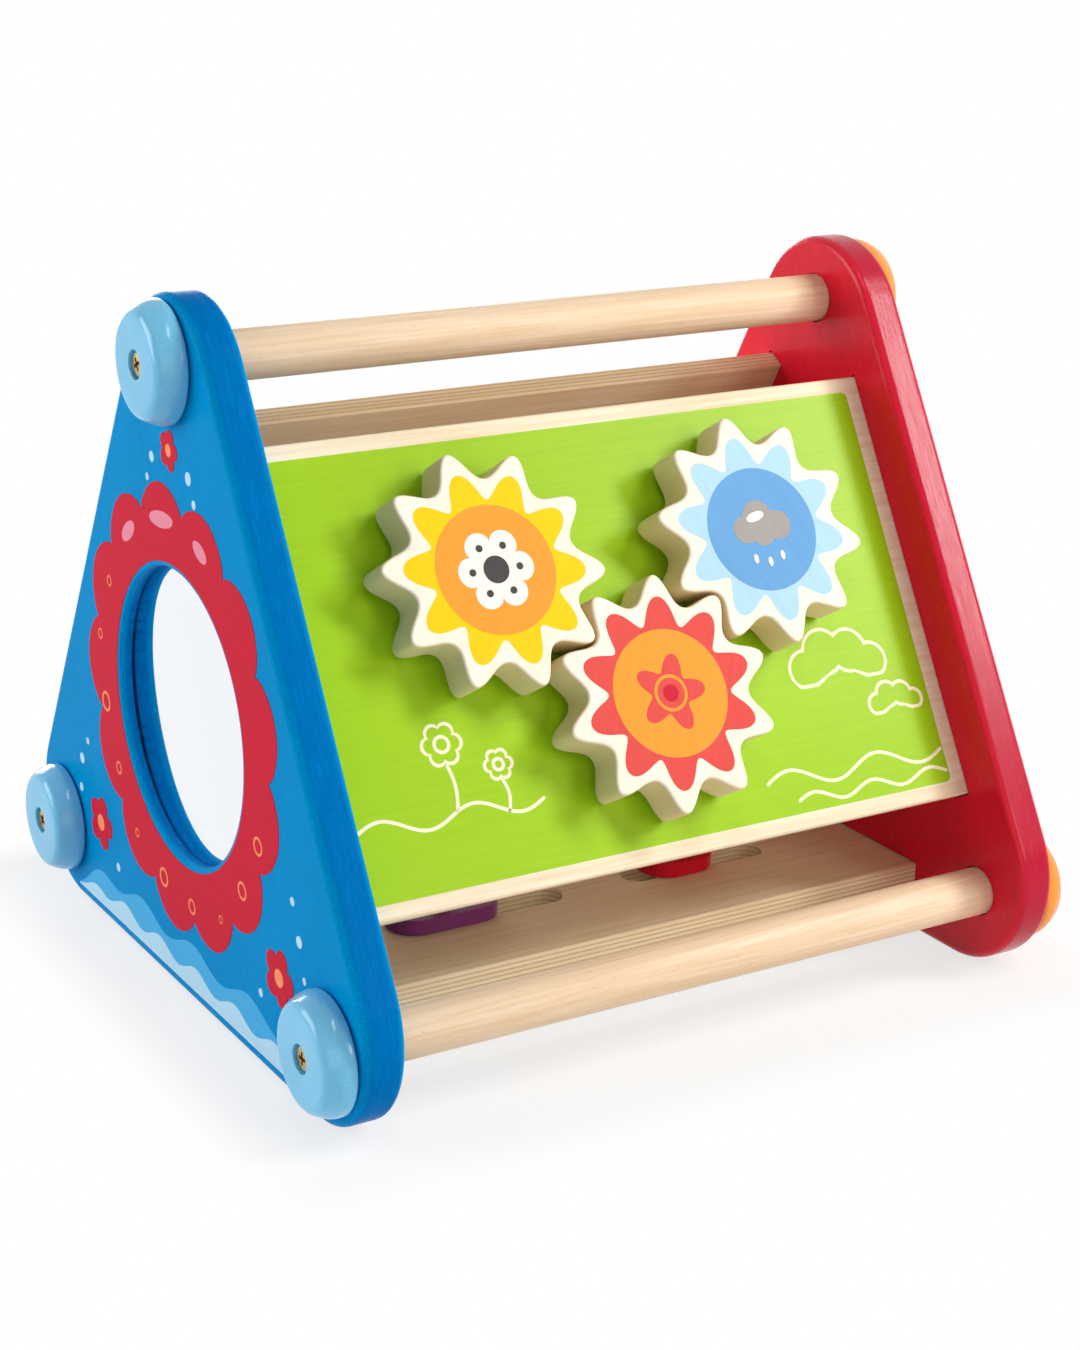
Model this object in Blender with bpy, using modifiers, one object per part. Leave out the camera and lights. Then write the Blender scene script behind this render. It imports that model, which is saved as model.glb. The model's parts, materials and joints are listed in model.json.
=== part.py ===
"""Wooden activity triangle for small children.

Two rounded-triangle end panels stand on their lower edges. Three dowels, screwed on through turned
end caps, and three plywood boards, let into grooves, tie the panels together. The front board carries
three meshing wooden gears, the left panel a mirror, and the bottom board two sliding pieces.

X runs along the dowels, with the mirror end at -X. Y points to the back, Z up. The origin is on the
ground, under the middle.
"""

import math

import bmesh
import bpy
from mathutils import Matrix, Vector

MM = 0.001

# Driving sizes
INNER_LENGTH = 220 * MM  # between the inner faces of the end panels
PANEL_THICKNESS = 13 * MM
CORNER_SPACING = 204 * MM  # between dowel axes, the same on all three sides
CORNER_INSET = 11.5 * MM  # from a dowel's axis in to the centre of the panel's corner arc
CORNER_RADIUS = 31.5 * MM
PANEL_ROUNDING = 3.5 * MM
FIT = 0.3 * MM  # clearance between pieces that touch on the real thing

DOWEL_RADIUS = 7.75 * MM
SOCKET_DEPTH = 6 * MM

CAP_RADIUS = 18.5 * MM
CAP_THICKNESS = 9.5 * MM
CAP_ROUNDING = 4.5 * MM
CAP_DIMPLE_MARGIN = 0.5 * MM  # all round the screw's head
CAP_DIMPLE_DEPTH = 0.85 * MM

SCREW_HEAD_RADIUS = 3.9 * MM
SCREW_SHANK_RADIUS = 1.9 * MM
SCREW_GRIP = 16 * MM  # thread length inside the dowel

BOARD_THICKNESS = 7 * MM
BOARD_WIDTH = 142 * MM
BOARD_STAND_OUT = 9 * MM  # outer face beyond the plane through the dowel axes
BOARD_CORNER_RADIUS = 2 * MM
BOARD_ROUNDING = 0.6 * MM
GROOVE_DEPTH = 5 * MM

MIRROR_HEIGHT = 93 * MM  # centre above the ground
MIRROR_OPENING_RADIUS = 46.6 * MM
MIRROR_LIP = 4.2 * MM
MIRROR_LEDGE = 4 * MM
MIRROR_THICKNESS = 3 * MM
MIRROR_SCREW_SHARE = 0.86  # of the backing plate's radius
MIRROR_SCREW_RADIUS = 1.2 * MM
MIRROR_SCREW_HEAD_RADIUS = 2.4 * MM

GEAR_TEETH = 10
GEAR_TIP_RADIUS = 36.8 * MM
GEAR_ROOT_RADIUS = 28 * MM
GEAR_POINTEDNESS = 0.12  # share of a second wave that narrows the tips and widens the valleys
GEAR_THICKNESS = 14 * MM
GEAR_ROUNDING = 1.2 * MM
GEAR_SIDE_STEP = 47.5 * MM  # from the red gear sideways to each of the others
GEAR_UP_STEP = 45.1 * MM  # and up the slope
RED_GEAR_DROP = 23.4 * MM  # below the middle of the board
GEAR_POINTS_PER_TOOTH = 10

AXLE_RADIUS = 6 * MM
AXLE_SEAT_DEPTH = 9 * MM
SPACER_RADIUS = 11 * MM
SPACER_THICKNESS = 1.2 * MM
RETAINER_RADIUS = 10 * MM
RETAINER_THICKNESS = 3 * MM
RETAINER_SCREW_RADIUS = 1.6 * MM
RETAINER_SCREW_HEAD_RADIUS = 3.4 * MM
RETAINER_SCREW_GRIP = 10 * MM

SLOT_WIDTH = 12 * MM
SLOT_FRONT_EDGE = 39 * MM  # in front of the middle of the bottom board
SLIDER_PLATE_WIDTH = 20 * MM
SLIDER_PLATE_THICKNESS = 5 * MM
SLIDER_END_SHARE = 0.48  # of the plate's width, the radius of its ends' corners
SLIDER_KNOB_RADIUS = 9 * MM
SLIDER_KNOB_THICKNESS = 8 * MM
SLIDER_RUNNING_GAP = 0.5 * MM
SLIDER_SCREW_RADIUS = 1.6 * MM
SLIDER_SCREW_HEAD_RADIUS = 3.2 * MM

HEAD_THICKNESS_SHARE = 0.5  # of a pan head's radius
HEAD_TOP_SHARE = 0.6  # of a pan head's radius, the radius of its flat top

ROUND_STEPS = 24
SMALL_ROUND_STEPS = 12
MIRROR_STEPS = 40

# Sizes that follow
TAU = 2 * math.pi
HALF_LENGTH = INNER_LENGTH / 2
TRIANGLE_HEIGHT = CORNER_SPACING * math.sqrt(3) / 2
INRADIUS = TRIANGLE_HEIGHT / 3
CIRCUMRADIUS = 2 * INRADIUS
LOW_AXIS_HEIGHT = CORNER_RADIUS - CORNER_INSET / 2
CENTRE = Vector((0, 0, LOW_AXIS_HEIGHT + INRADIUS))
SLIDERS = {
    # name: (slot's left end, slot's right end, where the slider stands, plate length)
    "purple": (-64 * MM, -6 * MM, -50 * MM, 38 * MM),
    "red": (18 * MM, 73 * MM, 38 * MM, 26 * MM),
}
CORNERS = {"top": 90, "front": 210, "rear": 330}  # direction from the centre, in degrees
BOARD_TILTS = {"gear_board": 60, "bottom_board": 180, "rear_board": 300}

COLOURS = {
    "panel_blue": (0.003, 0.235, 0.66, 0.42),
    "panel_red": (0.65, 0.006, 0.022, 0.3),
    "cap_blue": (0.26, 0.6, 0.81, 0.35),
    "cap_orange": (0.91, 0.36, 0.025, 0.35),
    "dowel_wood": (0.8, 0.6, 0.38, 0.45),
    "plywood": (0.83, 0.68, 0.46, 0.6),
    "gear_wood": (0.91, 0.78, 0.59, 0.5),
    "gear_yellow": (0.95, 0.62, 0.02, 0.5),
    "gear_red": (0.78, 0.1, 0.08, 0.5),
    "gear_blue": (0.42, 0.68, 0.9, 0.5),
    "slider_purple": (0.15, 0.02, 0.06, 0.4),
    "slider_red": (0.55, 0.006, 0.01, 0.4),
    "mirror": (0.9, 0.92, 0.94, 0.03),
    "screw_metal": (0.62, 0.5, 0.28, 0.3),
}
METALS = {"mirror", "screw_metal"}


def clear_scene():
    """Remove every object that the start-up scene holds."""
    for obj in list(bpy.data.objects):
        bpy.data.objects.remove(obj, do_unlink=True)


def new_collection(name):
    made = bpy.data.collections.new(name)
    bpy.context.scene.collection.children.link(made)
    return made


def make_material(name):
    """A Principled material with the piece's colour, roughness and metallic value."""
    red, green, blue, roughness = COLOURS[name]
    material = bpy.data.materials.new(name)
    material.use_nodes = True
    shader = material.node_tree.nodes["Principled BSDF"]
    shader.inputs["Base Color"].default_value = (red, green, blue, 1)
    shader.inputs["Roughness"].default_value = roughness
    shader.inputs["Metallic"].default_value = 1 if name in METALS else 0
    material.diffuse_color = (red, green, blue, 1)
    return material


def place(obj, location, turn):
    """Put an object at a point, turned by a 3 by 3 matrix."""
    obj.matrix_world = Matrix.Translation(location) @ turn.to_4x4()


def end_turn(side):
    """Local x to world Y, local y to world Z; local z out of the end on that side (-1 or 1)."""
    outward = Vector((side, 0, 0))
    up = Vector((0, 0, 1))
    return Matrix((up.cross(outward), up, outward)).transposed()


def board_turn(tilt):
    """A board's axes: x along the dowels, y across the board, z out of its outer face."""
    return Matrix.Rotation(math.radians(tilt), 3, "X")


def board_point(tilt, along, across, out):
    """A point given from the middle of a side's dowel plane, in that board's axes."""
    return CENTRE + board_turn(tilt) @ Vector((along, across, INRADIUS + out))


def corner_axis(name, inset=0):
    """Where a dowel's axis crosses the middle plane, or a point nearer the centre by the inset."""
    angle = math.radians(CORNERS[name])
    reach = CIRCUMRADIUS - inset
    return CENTRE + Vector((0, reach * math.cos(angle), reach * math.sin(angle)))


def arc(centre_x, centre_y, radius, start, end, steps):
    """Points on an arc, from the start to the end angle in degrees, both ends included."""
    angles = (math.radians(start + (end - start) * i / steps) for i in range(steps + 1))
    return [(centre_x + radius * math.cos(a), centre_y + radius * math.sin(a)) for a in angles]


def circle(centre_x, centre_y, radius, steps):
    return arc(centre_x, centre_y, radius, 0, 360 - 360 / steps, steps - 1)


def rounded_rectangle(length, width, radius, steps=4, centre=(0, 0)):
    """A rectangle's outline with round corners, counter-clockwise."""
    half_x, half_y = length / 2 - radius, width / 2 - radius
    signs = ((1, 1, 0), (-1, 1, 90), (-1, -1, 180), (1, -1, 270))
    points = []
    for sign_x, sign_y, start in signs:
        x, y = centre[0] + sign_x * half_x, centre[1] + sign_y * half_y
        points += arc(x, y, radius, start, start + 90, steps)
    return points


def panel_outline():
    """The end panels' outline about the centre: three arcs joined by straight sides."""
    points = []
    for angle in CORNERS.values():
        reach = CIRCUMRADIUS - CORNER_INSET
        x, y = reach * math.cos(math.radians(angle)), reach * math.sin(math.radians(angle))
        points += arc(x, y, CORNER_RADIUS, angle - 60, angle + 60, 12)
    return points


def gear_radius(angle):
    """The gear's outline in polar form: a wave with narrow round tips and wider valleys."""
    wave = math.cos(angle) + GEAR_POINTEDNESS * math.cos(2 * angle)
    lowest, highest = GEAR_POINTEDNESS - 1, GEAR_POINTEDNESS + 1
    share = (wave - lowest) / (highest - lowest)
    return GEAR_ROOT_RADIUS + (GEAR_TIP_RADIUS - GEAR_ROOT_RADIUS) * share


def gear_outline():
    count = GEAR_TEETH * GEAR_POINTS_PER_TOOTH
    points = []
    for i in range(count):
        turn = TAU * i / count
        radius = gear_radius(GEAR_TEETH * turn)
        points.append((radius * math.cos(turn), radius * math.sin(turn)))
    return points


def mesh_from_curve(curve_object, collection):
    """Replace a curve object by a mesh of the same shape, with its caps welded on."""
    graph = bpy.context.evaluated_depsgraph_get()
    mesh = bpy.data.meshes.new_from_object(curve_object.evaluated_get(graph))
    name = curve_object.name
    world = curve_object.matrix_world.copy()
    bpy.data.objects.remove(curve_object, do_unlink=True)
    built = bmesh.new()
    built.from_mesh(mesh)
    bmesh.ops.remove_doubles(built, verts=built.verts, dist=0.001 * MM)
    bmesh.ops.recalc_face_normals(built, faces=built.faces)
    built.to_mesh(mesh)
    built.free()
    made = bpy.data.objects.new(name, mesh)
    made.matrix_world = world
    collection.objects.link(made)
    return made


def flat_piece(name, loops, thickness, collection):
    """A plate with the first loop as outline and the others as holes, its middle at local z = 0."""
    curve = bpy.data.curves.new(name, "CURVE")
    curve.dimensions = "2D"
    curve.fill_mode = "BOTH"
    curve.extrude = thickness / 2
    for loop in loops:
        spline = curve.splines.new("POLY")
        spline.points.add(len(loop) - 1)
        for point, (x, y) in zip(spline.points, loop):
            point.co = (x, y, 0, 1)
        spline.use_cyclic_u = True
    made = bpy.data.objects.new(name, curve)
    collection.objects.link(made)
    bpy.context.view_layer.update()
    return mesh_from_curve(made, collection)


def turned_piece(name, profile, collection, steps=ROUND_STEPS):
    """A turned piece about local z. The profile runs down its outer side, top to bottom."""
    mesh = bpy.data.meshes.new(name)
    edges = [(i, i + 1) for i in range(len(profile) - 1)]
    if profile[0][0] > 0:
        edges.append((len(profile) - 1, 0))
    mesh.from_pydata([(radius, 0, height) for radius, height in profile], edges, [])
    made = bpy.data.objects.new(name, mesh)
    collection.objects.link(made)
    screw = made.modifiers.new("turn", "SCREW")
    screw.steps = steps
    screw.render_steps = steps
    screw.use_merge_vertices = True
    screw.merge_threshold = 0.01 * MM
    screw.use_smooth_shade = True
    return made


def pan_head_screw(name, radius, head_radius, tip, seat, collection):
    """A screw from its tip down to a pan head whose flat side lies at the seat."""
    thickness = head_radius * HEAD_THICKNESS_SHARE
    return turned_piece(name, [
        (0, tip), (radius, tip), (radius, seat), (head_radius, seat), (head_radius, seat - thickness / 2),
        (head_radius * HEAD_TOP_SHARE, seat - thickness), (0, seat - thickness),
    ], collection, SMALL_ROUND_STEPS)


def round_edges(obj, width, segments=2):
    bevel = obj.modifiers.new("rounding", "BEVEL")
    bevel.width = width
    bevel.segments = segments
    bevel.limit_method = "ANGLE"
    bevel.angle_limit = math.radians(50)


def cut(obj, cutter):
    cutter.hide_render = True
    cutter.display_type = "WIRE"
    boolean = obj.modifiers.new("cut " + cutter.name, "BOOLEAN")
    boolean.operation = "DIFFERENCE"
    boolean.object = cutter


def drill(obj, name, location, turn, radius, depth, cutters, steps=SMALL_ROUND_STEPS):
    """Cut a round hole of that depth, from the point inwards against the turn's z axis."""
    mesh = bpy.data.meshes.new(name)
    built = bmesh.new()
    bmesh.ops.create_cone(
        built, cap_ends=True, segments=steps, radius1=radius, radius2=radius, depth=2 * depth
    )
    built.to_mesh(mesh)
    built.free()
    cutter = bpy.data.objects.new(name, mesh)
    cutters.objects.link(cutter)
    place(cutter, location, turn)
    cut(obj, cutter)


def finish(obj, material):
    """Give a piece its material and smooth shading with sharp edges kept."""
    obj.data.materials.clear()
    obj.data.materials.append(material)
    for polygon in obj.data.polygons:
        polygon.use_smooth = True
    if obj.data.polygons:
        obj.data.set_sharp_from_angle(angle=math.radians(35))


def make_end_panel(name, side, material, parts, cutters):
    """An end panel with sockets for the dowels, screw holes and grooves for the boards."""
    panel = flat_piece(name, [panel_outline()], PANEL_THICKNESS, parts)
    turn = end_turn(side)
    place(panel, CENTRE + Vector((side * (HALF_LENGTH + PANEL_THICKNESS / 2), 0, 0)), turn)
    round_edges(panel, PANEL_ROUNDING)
    inner = Vector((side * HALF_LENGTH, 0, 0))
    for corner in CORNERS:
        axis = corner_axis(corner)
        hole = f"{name}_{corner}"
        drill(panel, hole + "_socket", axis + inner, turn, DOWEL_RADIUS + FIT, SOCKET_DEPTH, cutters,
              ROUND_STEPS)
        drill(panel, hole + "_screw_hole", axis + inner, turn, SCREW_SHANK_RADIUS + FIT,
              2 * PANEL_THICKNESS, cutters)
    for board, tilt in BOARD_TILTS.items():
        outline = rounded_rectangle(
            2 * (GROOVE_DEPTH + FIT), BOARD_WIDTH + 2 * FIT, BOARD_CORNER_RADIUS + FIT, 2
        )
        groove = flat_piece(f"{name}_{board}_groove", [outline], BOARD_THICKNESS + 2 * FIT, cutters)
        centre = board_point(tilt, side * HALF_LENGTH, 0, BOARD_STAND_OUT - BOARD_THICKNESS / 2)
        place(groove, centre, board_turn(tilt))
        cut(panel, groove)
    finish(panel, material)
    return panel


def mirror_point(out):
    """A point on the mirror's axis, out from the left panel's outer face (inwards is negative)."""
    return Vector((-HALF_LENGTH - PANEL_THICKNESS - out, 0, MIRROR_HEIGHT))


def make_mirror(panel, materials, parts, cutters):
    """Cut the mirror's opening and seat, and make the pane, its backing plate and the screws."""
    turn = end_turn(-1)
    seat_radius = MIRROR_OPENING_RADIUS + MIRROR_LEDGE
    drill(panel, "mirror_opening", mirror_point(0), turn, MIRROR_OPENING_RADIUS, 2 * PANEL_THICKNESS,
          cutters, MIRROR_STEPS)
    seat_depth = PANEL_THICKNESS - MIRROR_LIP
    drill(panel, "mirror_seat", mirror_point(-PANEL_THICKNESS), turn, seat_radius, seat_depth,
          cutters, MIRROR_STEPS)
    pane_radius = seat_radius - FIT
    pane = turned_piece("mirror_pane", [
        (0, MIRROR_THICKNESS), (pane_radius, MIRROR_THICKNESS), (pane_radius, 0), (0, 0),
    ], parts, MIRROR_STEPS)
    place(pane, mirror_point(-MIRROR_LIP - FIT - MIRROR_THICKNESS), turn)
    finish(pane, materials["mirror"])
    plate_thickness = seat_depth - MIRROR_THICKNESS - 2 * FIT
    outline = circle(0, 0, pane_radius, MIRROR_STEPS)
    plate = flat_piece("mirror_backing_plate", [outline], plate_thickness, parts)
    plate_middle = -PANEL_THICKNESS + plate_thickness / 2
    place(plate, mirror_point(plate_middle), turn)
    for index, angle in enumerate((90, 210, 330), 1):
        reach = MIRROR_SCREW_SHARE * pane_radius
        offset = Vector((0, reach * math.cos(math.radians(angle)), reach * math.sin(math.radians(angle))))
        point = mirror_point(-PANEL_THICKNESS) + offset
        drill(plate, f"backing_screw_hole_{index}", point, turn, MIRROR_SCREW_RADIUS + FIT,
              plate_thickness - 2 * FIT, cutters)
        screw = pan_head_screw(f"mirror_backing_screw_{index}", MIRROR_SCREW_RADIUS,
                               MIRROR_SCREW_HEAD_RADIUS, plate_thickness - 4 * FIT, -FIT, parts)
        place(screw, point, turn)
        finish(screw, materials["screw_metal"])
    finish(plate, materials["plywood"])


def make_dowel(name, corner, material, parts):
    """A dowel between the two sockets, with a pilot hole for a screw in each end."""
    half = HALF_LENGTH + SOCKET_DEPTH - FIT
    pilot = SCREW_SHANK_RADIUS + FIT
    depth = SCREW_GRIP + 2 * FIT
    chamfer = DOWEL_RADIUS / 10
    dowel = turned_piece(name, [
        (0, half - depth), (pilot, half - depth), (pilot, half), (DOWEL_RADIUS - chamfer, half),
        (DOWEL_RADIUS, half - chamfer), (DOWEL_RADIUS, chamfer - half),
        (DOWEL_RADIUS - chamfer, -half), (pilot, -half), (pilot, depth - half), (0, depth - half),
    ], parts)
    place(dowel, corner_axis(corner), end_turn(1))
    finish(dowel, material)


def make_cap(name, corner, side, material, parts):
    """A turned end cap with a round outer edge, a dimple and a countersunk screw hole."""
    hole = SCREW_SHANK_RADIUS + FIT
    head = SCREW_HEAD_RADIUS + FIT
    dimple = SCREW_HEAD_RADIUS + CAP_DIMPLE_MARGIN
    seat = CAP_THICKNESS - CAP_DIMPLE_DEPTH
    rim = [(CAP_RADIUS - CAP_ROUNDING + x, CAP_THICKNESS - CAP_ROUNDING + y)
           for x, y in arc(0, 0, CAP_ROUNDING, 90, 0, 3)]
    cap = turned_piece(name, [
        (hole, seat - (head - hole)), (head, seat), (dimple, seat),
        (dimple + CAP_DIMPLE_DEPTH / 2, CAP_THICKNESS), *rim, (CAP_RADIUS, 0), (hole, 0),
    ], parts)
    face = side * (HALF_LENGTH + PANEL_THICKNESS + FIT)
    place(cap, corner_axis(corner) + Vector((face, 0, 0)), end_turn(side))
    finish(cap, material)


def make_cap_screw(name, corner, side, material, parts):
    """A countersunk wood screw through the cap and the panel into the dowel's end."""
    seat = PANEL_THICKNESS + FIT + CAP_THICKNESS - CAP_DIMPLE_DEPTH
    tip = SOCKET_DEPTH - SCREW_GRIP
    point_length = 2 * SCREW_SHANK_RADIUS
    slope = SCREW_HEAD_RADIUS - SCREW_SHANK_RADIUS
    screw = turned_piece(name, [
        (0, seat), (SCREW_HEAD_RADIUS, seat), (SCREW_SHANK_RADIUS, seat - slope),
        (SCREW_SHANK_RADIUS, tip + point_length), (0, tip),
    ], parts, SMALL_ROUND_STEPS)
    place(screw, corner_axis(corner) + Vector((side * HALF_LENGTH, 0, 0)), end_turn(side))
    finish(screw, material)


def make_board(name, holes, material, parts):
    """A plywood board let into both end panels, with its outer face outwards."""
    tilt = BOARD_TILTS[name]
    length = INNER_LENGTH + 2 * (GROOVE_DEPTH - FIT)
    outline = rounded_rectangle(length, BOARD_WIDTH, BOARD_CORNER_RADIUS, 2)
    board = flat_piece(name, [outline, *holes], BOARD_THICKNESS, parts)
    place(board, board_point(tilt, 0, 0, BOARD_STAND_OUT - BOARD_THICKNESS / 2), board_turn(tilt))
    round_edges(board, BOARD_ROUNDING, 1)
    finish(board, material)


def gear_places():
    """Each gear's place on its board (along, up the slope) and the turn that puts it in mesh."""
    reach = math.degrees(math.atan2(GEAR_UP_STEP, GEAR_SIDE_STEP))
    half_pitch = 180 / GEAR_TEETH
    red_turn = 180 - reach + half_pitch
    blue_turn = 180 + reach + half_pitch - (red_turn - reach)
    row = GEAR_UP_STEP - RED_GEAR_DROP
    return {
        "yellow": (-GEAR_SIDE_STEP, row, -reach),
        "red": (0, -RED_GEAR_DROP, red_turn),
        "blue": (GEAR_SIDE_STEP, row, blue_turn),
    }


def make_gear(colour, along, up, phase, materials, parts, cutters):
    """A gear, its axle through the board, the spacer, the disc behind and the disc's screw."""
    tilt = BOARD_TILTS["gear_board"]
    turn = board_turn(tilt)
    back = BOARD_STAND_OUT + SPACER_THICKNESS + 2 * FIT
    gear = flat_piece(f"{colour}_gear", [gear_outline()], GEAR_THICKNESS, parts)
    spin = turn @ Matrix.Rotation(math.radians(phase), 3, "Z")
    place(gear, board_point(tilt, along, up, back + GEAR_THICKNESS / 2), spin)
    round_edges(gear, GEAR_ROUNDING, 1)
    seat_turn = turn @ Matrix.Rotation(math.pi, 3, "X")
    drill(gear, f"{colour}_gear_seat", board_point(tilt, along, up, back), seat_turn,
          AXLE_RADIUS + FIT, AXLE_SEAT_DEPTH, cutters)
    finish(gear, materials["gear_" + colour])

    inner_face = BOARD_STAND_OUT - BOARD_THICKNESS
    axle_back = inner_face - FIT
    axle_front = back + AXLE_SEAT_DEPTH - FIT
    pilot = RETAINER_SCREW_RADIUS + FIT
    pilot_top = axle_back + RETAINER_SCREW_GRIP + FIT
    axle = turned_piece(f"{colour}_gear_axle", [
        (0, axle_front), (AXLE_RADIUS, axle_front), (AXLE_RADIUS, axle_back), (pilot, axle_back),
        (pilot, pilot_top), (0, pilot_top),
    ], parts, SMALL_ROUND_STEPS)
    spacer = turned_piece(f"{colour}_gear_spacer", [
        (AXLE_RADIUS + FIT, back - FIT), (SPACER_RADIUS, back - FIT),
        (SPACER_RADIUS, BOARD_STAND_OUT + FIT), (AXLE_RADIUS + FIT, BOARD_STAND_OUT + FIT),
    ], parts, SMALL_ROUND_STEPS)
    disc_front = axle_back - FIT
    disc_back = disc_front - RETAINER_THICKNESS
    disc = turned_piece(f"{colour}_gear_retaining_disc", [
        (pilot, disc_front), (RETAINER_RADIUS, disc_front), (RETAINER_RADIUS, disc_back),
        (pilot, disc_back),
    ], parts, SMALL_ROUND_STEPS)
    screw = pan_head_screw(f"{colour}_gear_screw", RETAINER_SCREW_RADIUS, RETAINER_SCREW_HEAD_RADIUS,
                           axle_back + RETAINER_SCREW_GRIP, disc_back - FIT, parts)
    slots = ((axle, "gear_wood"), (spacer, "gear_wood"), (disc, "gear_wood"), (screw, "screw_metal"))
    for piece, material in slots:
        place(piece, board_point(tilt, along, up, 0), turn)
        finish(piece, materials[material])


def slot_outline(left, right):
    """A slot with round ends on the bottom board, in the board's own axes."""
    radius = SLOT_WIDTH / 2
    across = SLOT_FRONT_EDGE - radius
    points = arc(left + radius, across, radius, 90, 270, 8)
    return points + arc(right - radius, across, radius, -90, 90, 8)


def make_slider(colour, stand, plate_length, materials, parts):
    """A sliding piece: painted plate above the board, knob with a neck below, and one screw."""
    tilt = BOARD_TILTS["bottom_board"]
    turn = board_turn(tilt)
    across = SLOT_FRONT_EDGE - SLOT_WIDTH / 2
    inner_face = BOARD_STAND_OUT - BOARD_THICKNESS
    plate_bottom = inner_face - SLIDER_RUNNING_GAP
    plate_top = plate_bottom - SLIDER_PLATE_THICKNESS
    outline = rounded_rectangle(plate_length, SLIDER_PLATE_WIDTH, SLIDER_PLATE_WIDTH * SLIDER_END_SHARE)
    hole = circle(0, 0, SLIDER_SCREW_RADIUS + FIT, SMALL_ROUND_STEPS)
    plate = flat_piece(f"{colour}_slider_plate", [outline, hole], SLIDER_PLATE_THICKNESS, parts)
    place(plate, board_point(tilt, stand, across, (plate_bottom + plate_top) / 2), turn)
    round_edges(plate, SLIDER_PLATE_THICKNESS / 3, 1)
    finish(plate, materials["slider_" + colour])

    neck = SLOT_WIDTH / 2 - SLIDER_RUNNING_GAP
    neck_top = plate_bottom + FIT
    knob_top = BOARD_STAND_OUT + SLIDER_RUNNING_GAP
    knob_end = knob_top + SLIDER_KNOB_THICKNESS
    rounding = SLIDER_KNOB_THICKNESS / 3
    pilot = SLIDER_SCREW_RADIUS + FIT
    pilot_end = knob_top + SLIDER_KNOB_THICKNESS / 2
    rim = [(SLIDER_KNOB_RADIUS - rounding + x, knob_end - rounding + y)
           for x, y in arc(0, 0, rounding, 90, 0, 2)]
    knob = turned_piece(f"{colour}_slider_knob", [
        (0, knob_end), *rim, (SLIDER_KNOB_RADIUS, knob_top), (neck, knob_top), (neck, neck_top),
        (pilot, neck_top), (pilot, pilot_end), (0, pilot_end),
    ], parts, SMALL_ROUND_STEPS)
    screw = pan_head_screw(f"{colour}_slider_screw", SLIDER_SCREW_RADIUS, SLIDER_SCREW_HEAD_RADIUS,
                           pilot_end - FIT, plate_top - FIT, parts)
    for piece, material in ((knob, "gear_wood"), (screw, "screw_metal")):
        place(piece, board_point(tilt, stand, across, 0), turn)
        finish(piece, materials[material])


def main():
    clear_scene()
    parts = new_collection("activity_triangle")
    cutters = new_collection("cutters")
    materials = {name: make_material(name) for name in COLOURS}

    left = make_end_panel("left_end_panel", -1, materials["panel_blue"], parts, cutters)
    make_end_panel("right_end_panel", 1, materials["panel_red"], parts, cutters)
    make_mirror(left, materials, parts, cutters)

    for corner, name in (("top", "top_handle_dowel"), ("front", "front_dowel"), ("rear", "rear_dowel")):
        make_dowel(name, corner, materials["dowel_wood"], parts)
        for side, end, colour in ((-1, "left", "cap_blue"), (1, "right", "cap_orange")):
            make_cap(f"{end}_{corner}_cap", corner, side, materials[colour], parts)
            make_cap_screw(f"{end}_{corner}_screw", corner, side, materials["screw_metal"], parts)

    gears = gear_places()
    axle_holes = [circle(along, up, AXLE_RADIUS + FIT, SMALL_ROUND_STEPS) for along, up, _ in gears.values()]
    slots = [slot_outline(left_end, right_end) for left_end, right_end, _, _ in SLIDERS.values()]
    make_board("gear_board", axle_holes, materials["plywood"], parts)
    make_board("rear_board", [], materials["plywood"], parts)
    make_board("bottom_board", slots, materials["plywood"], parts)
    for colour, (along, up, phase) in gears.items():
        make_gear(colour, along, up, phase, materials, parts, cutters)
    for colour, (_, _, stand, plate_length) in SLIDERS.items():
        make_slider(colour, stand, plate_length, materials, parts)


main()
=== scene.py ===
"""Looks of a wooden activity triangle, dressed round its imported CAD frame.

Every piece takes its place from the frame's boxes and joints, so it sits where the CAD solids are.
Lengths are in metres. X runs along the dowels, with the mirror end at -X, Y to the back and Z up.
"""

import json
import logging
import math
from collections.abc import Callable, Sequence
from dataclasses import dataclass, field
from enum import Enum
from functools import partial
from typing import Any

import bmesh
import bpy
from mathutils import Matrix, Vector


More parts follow.
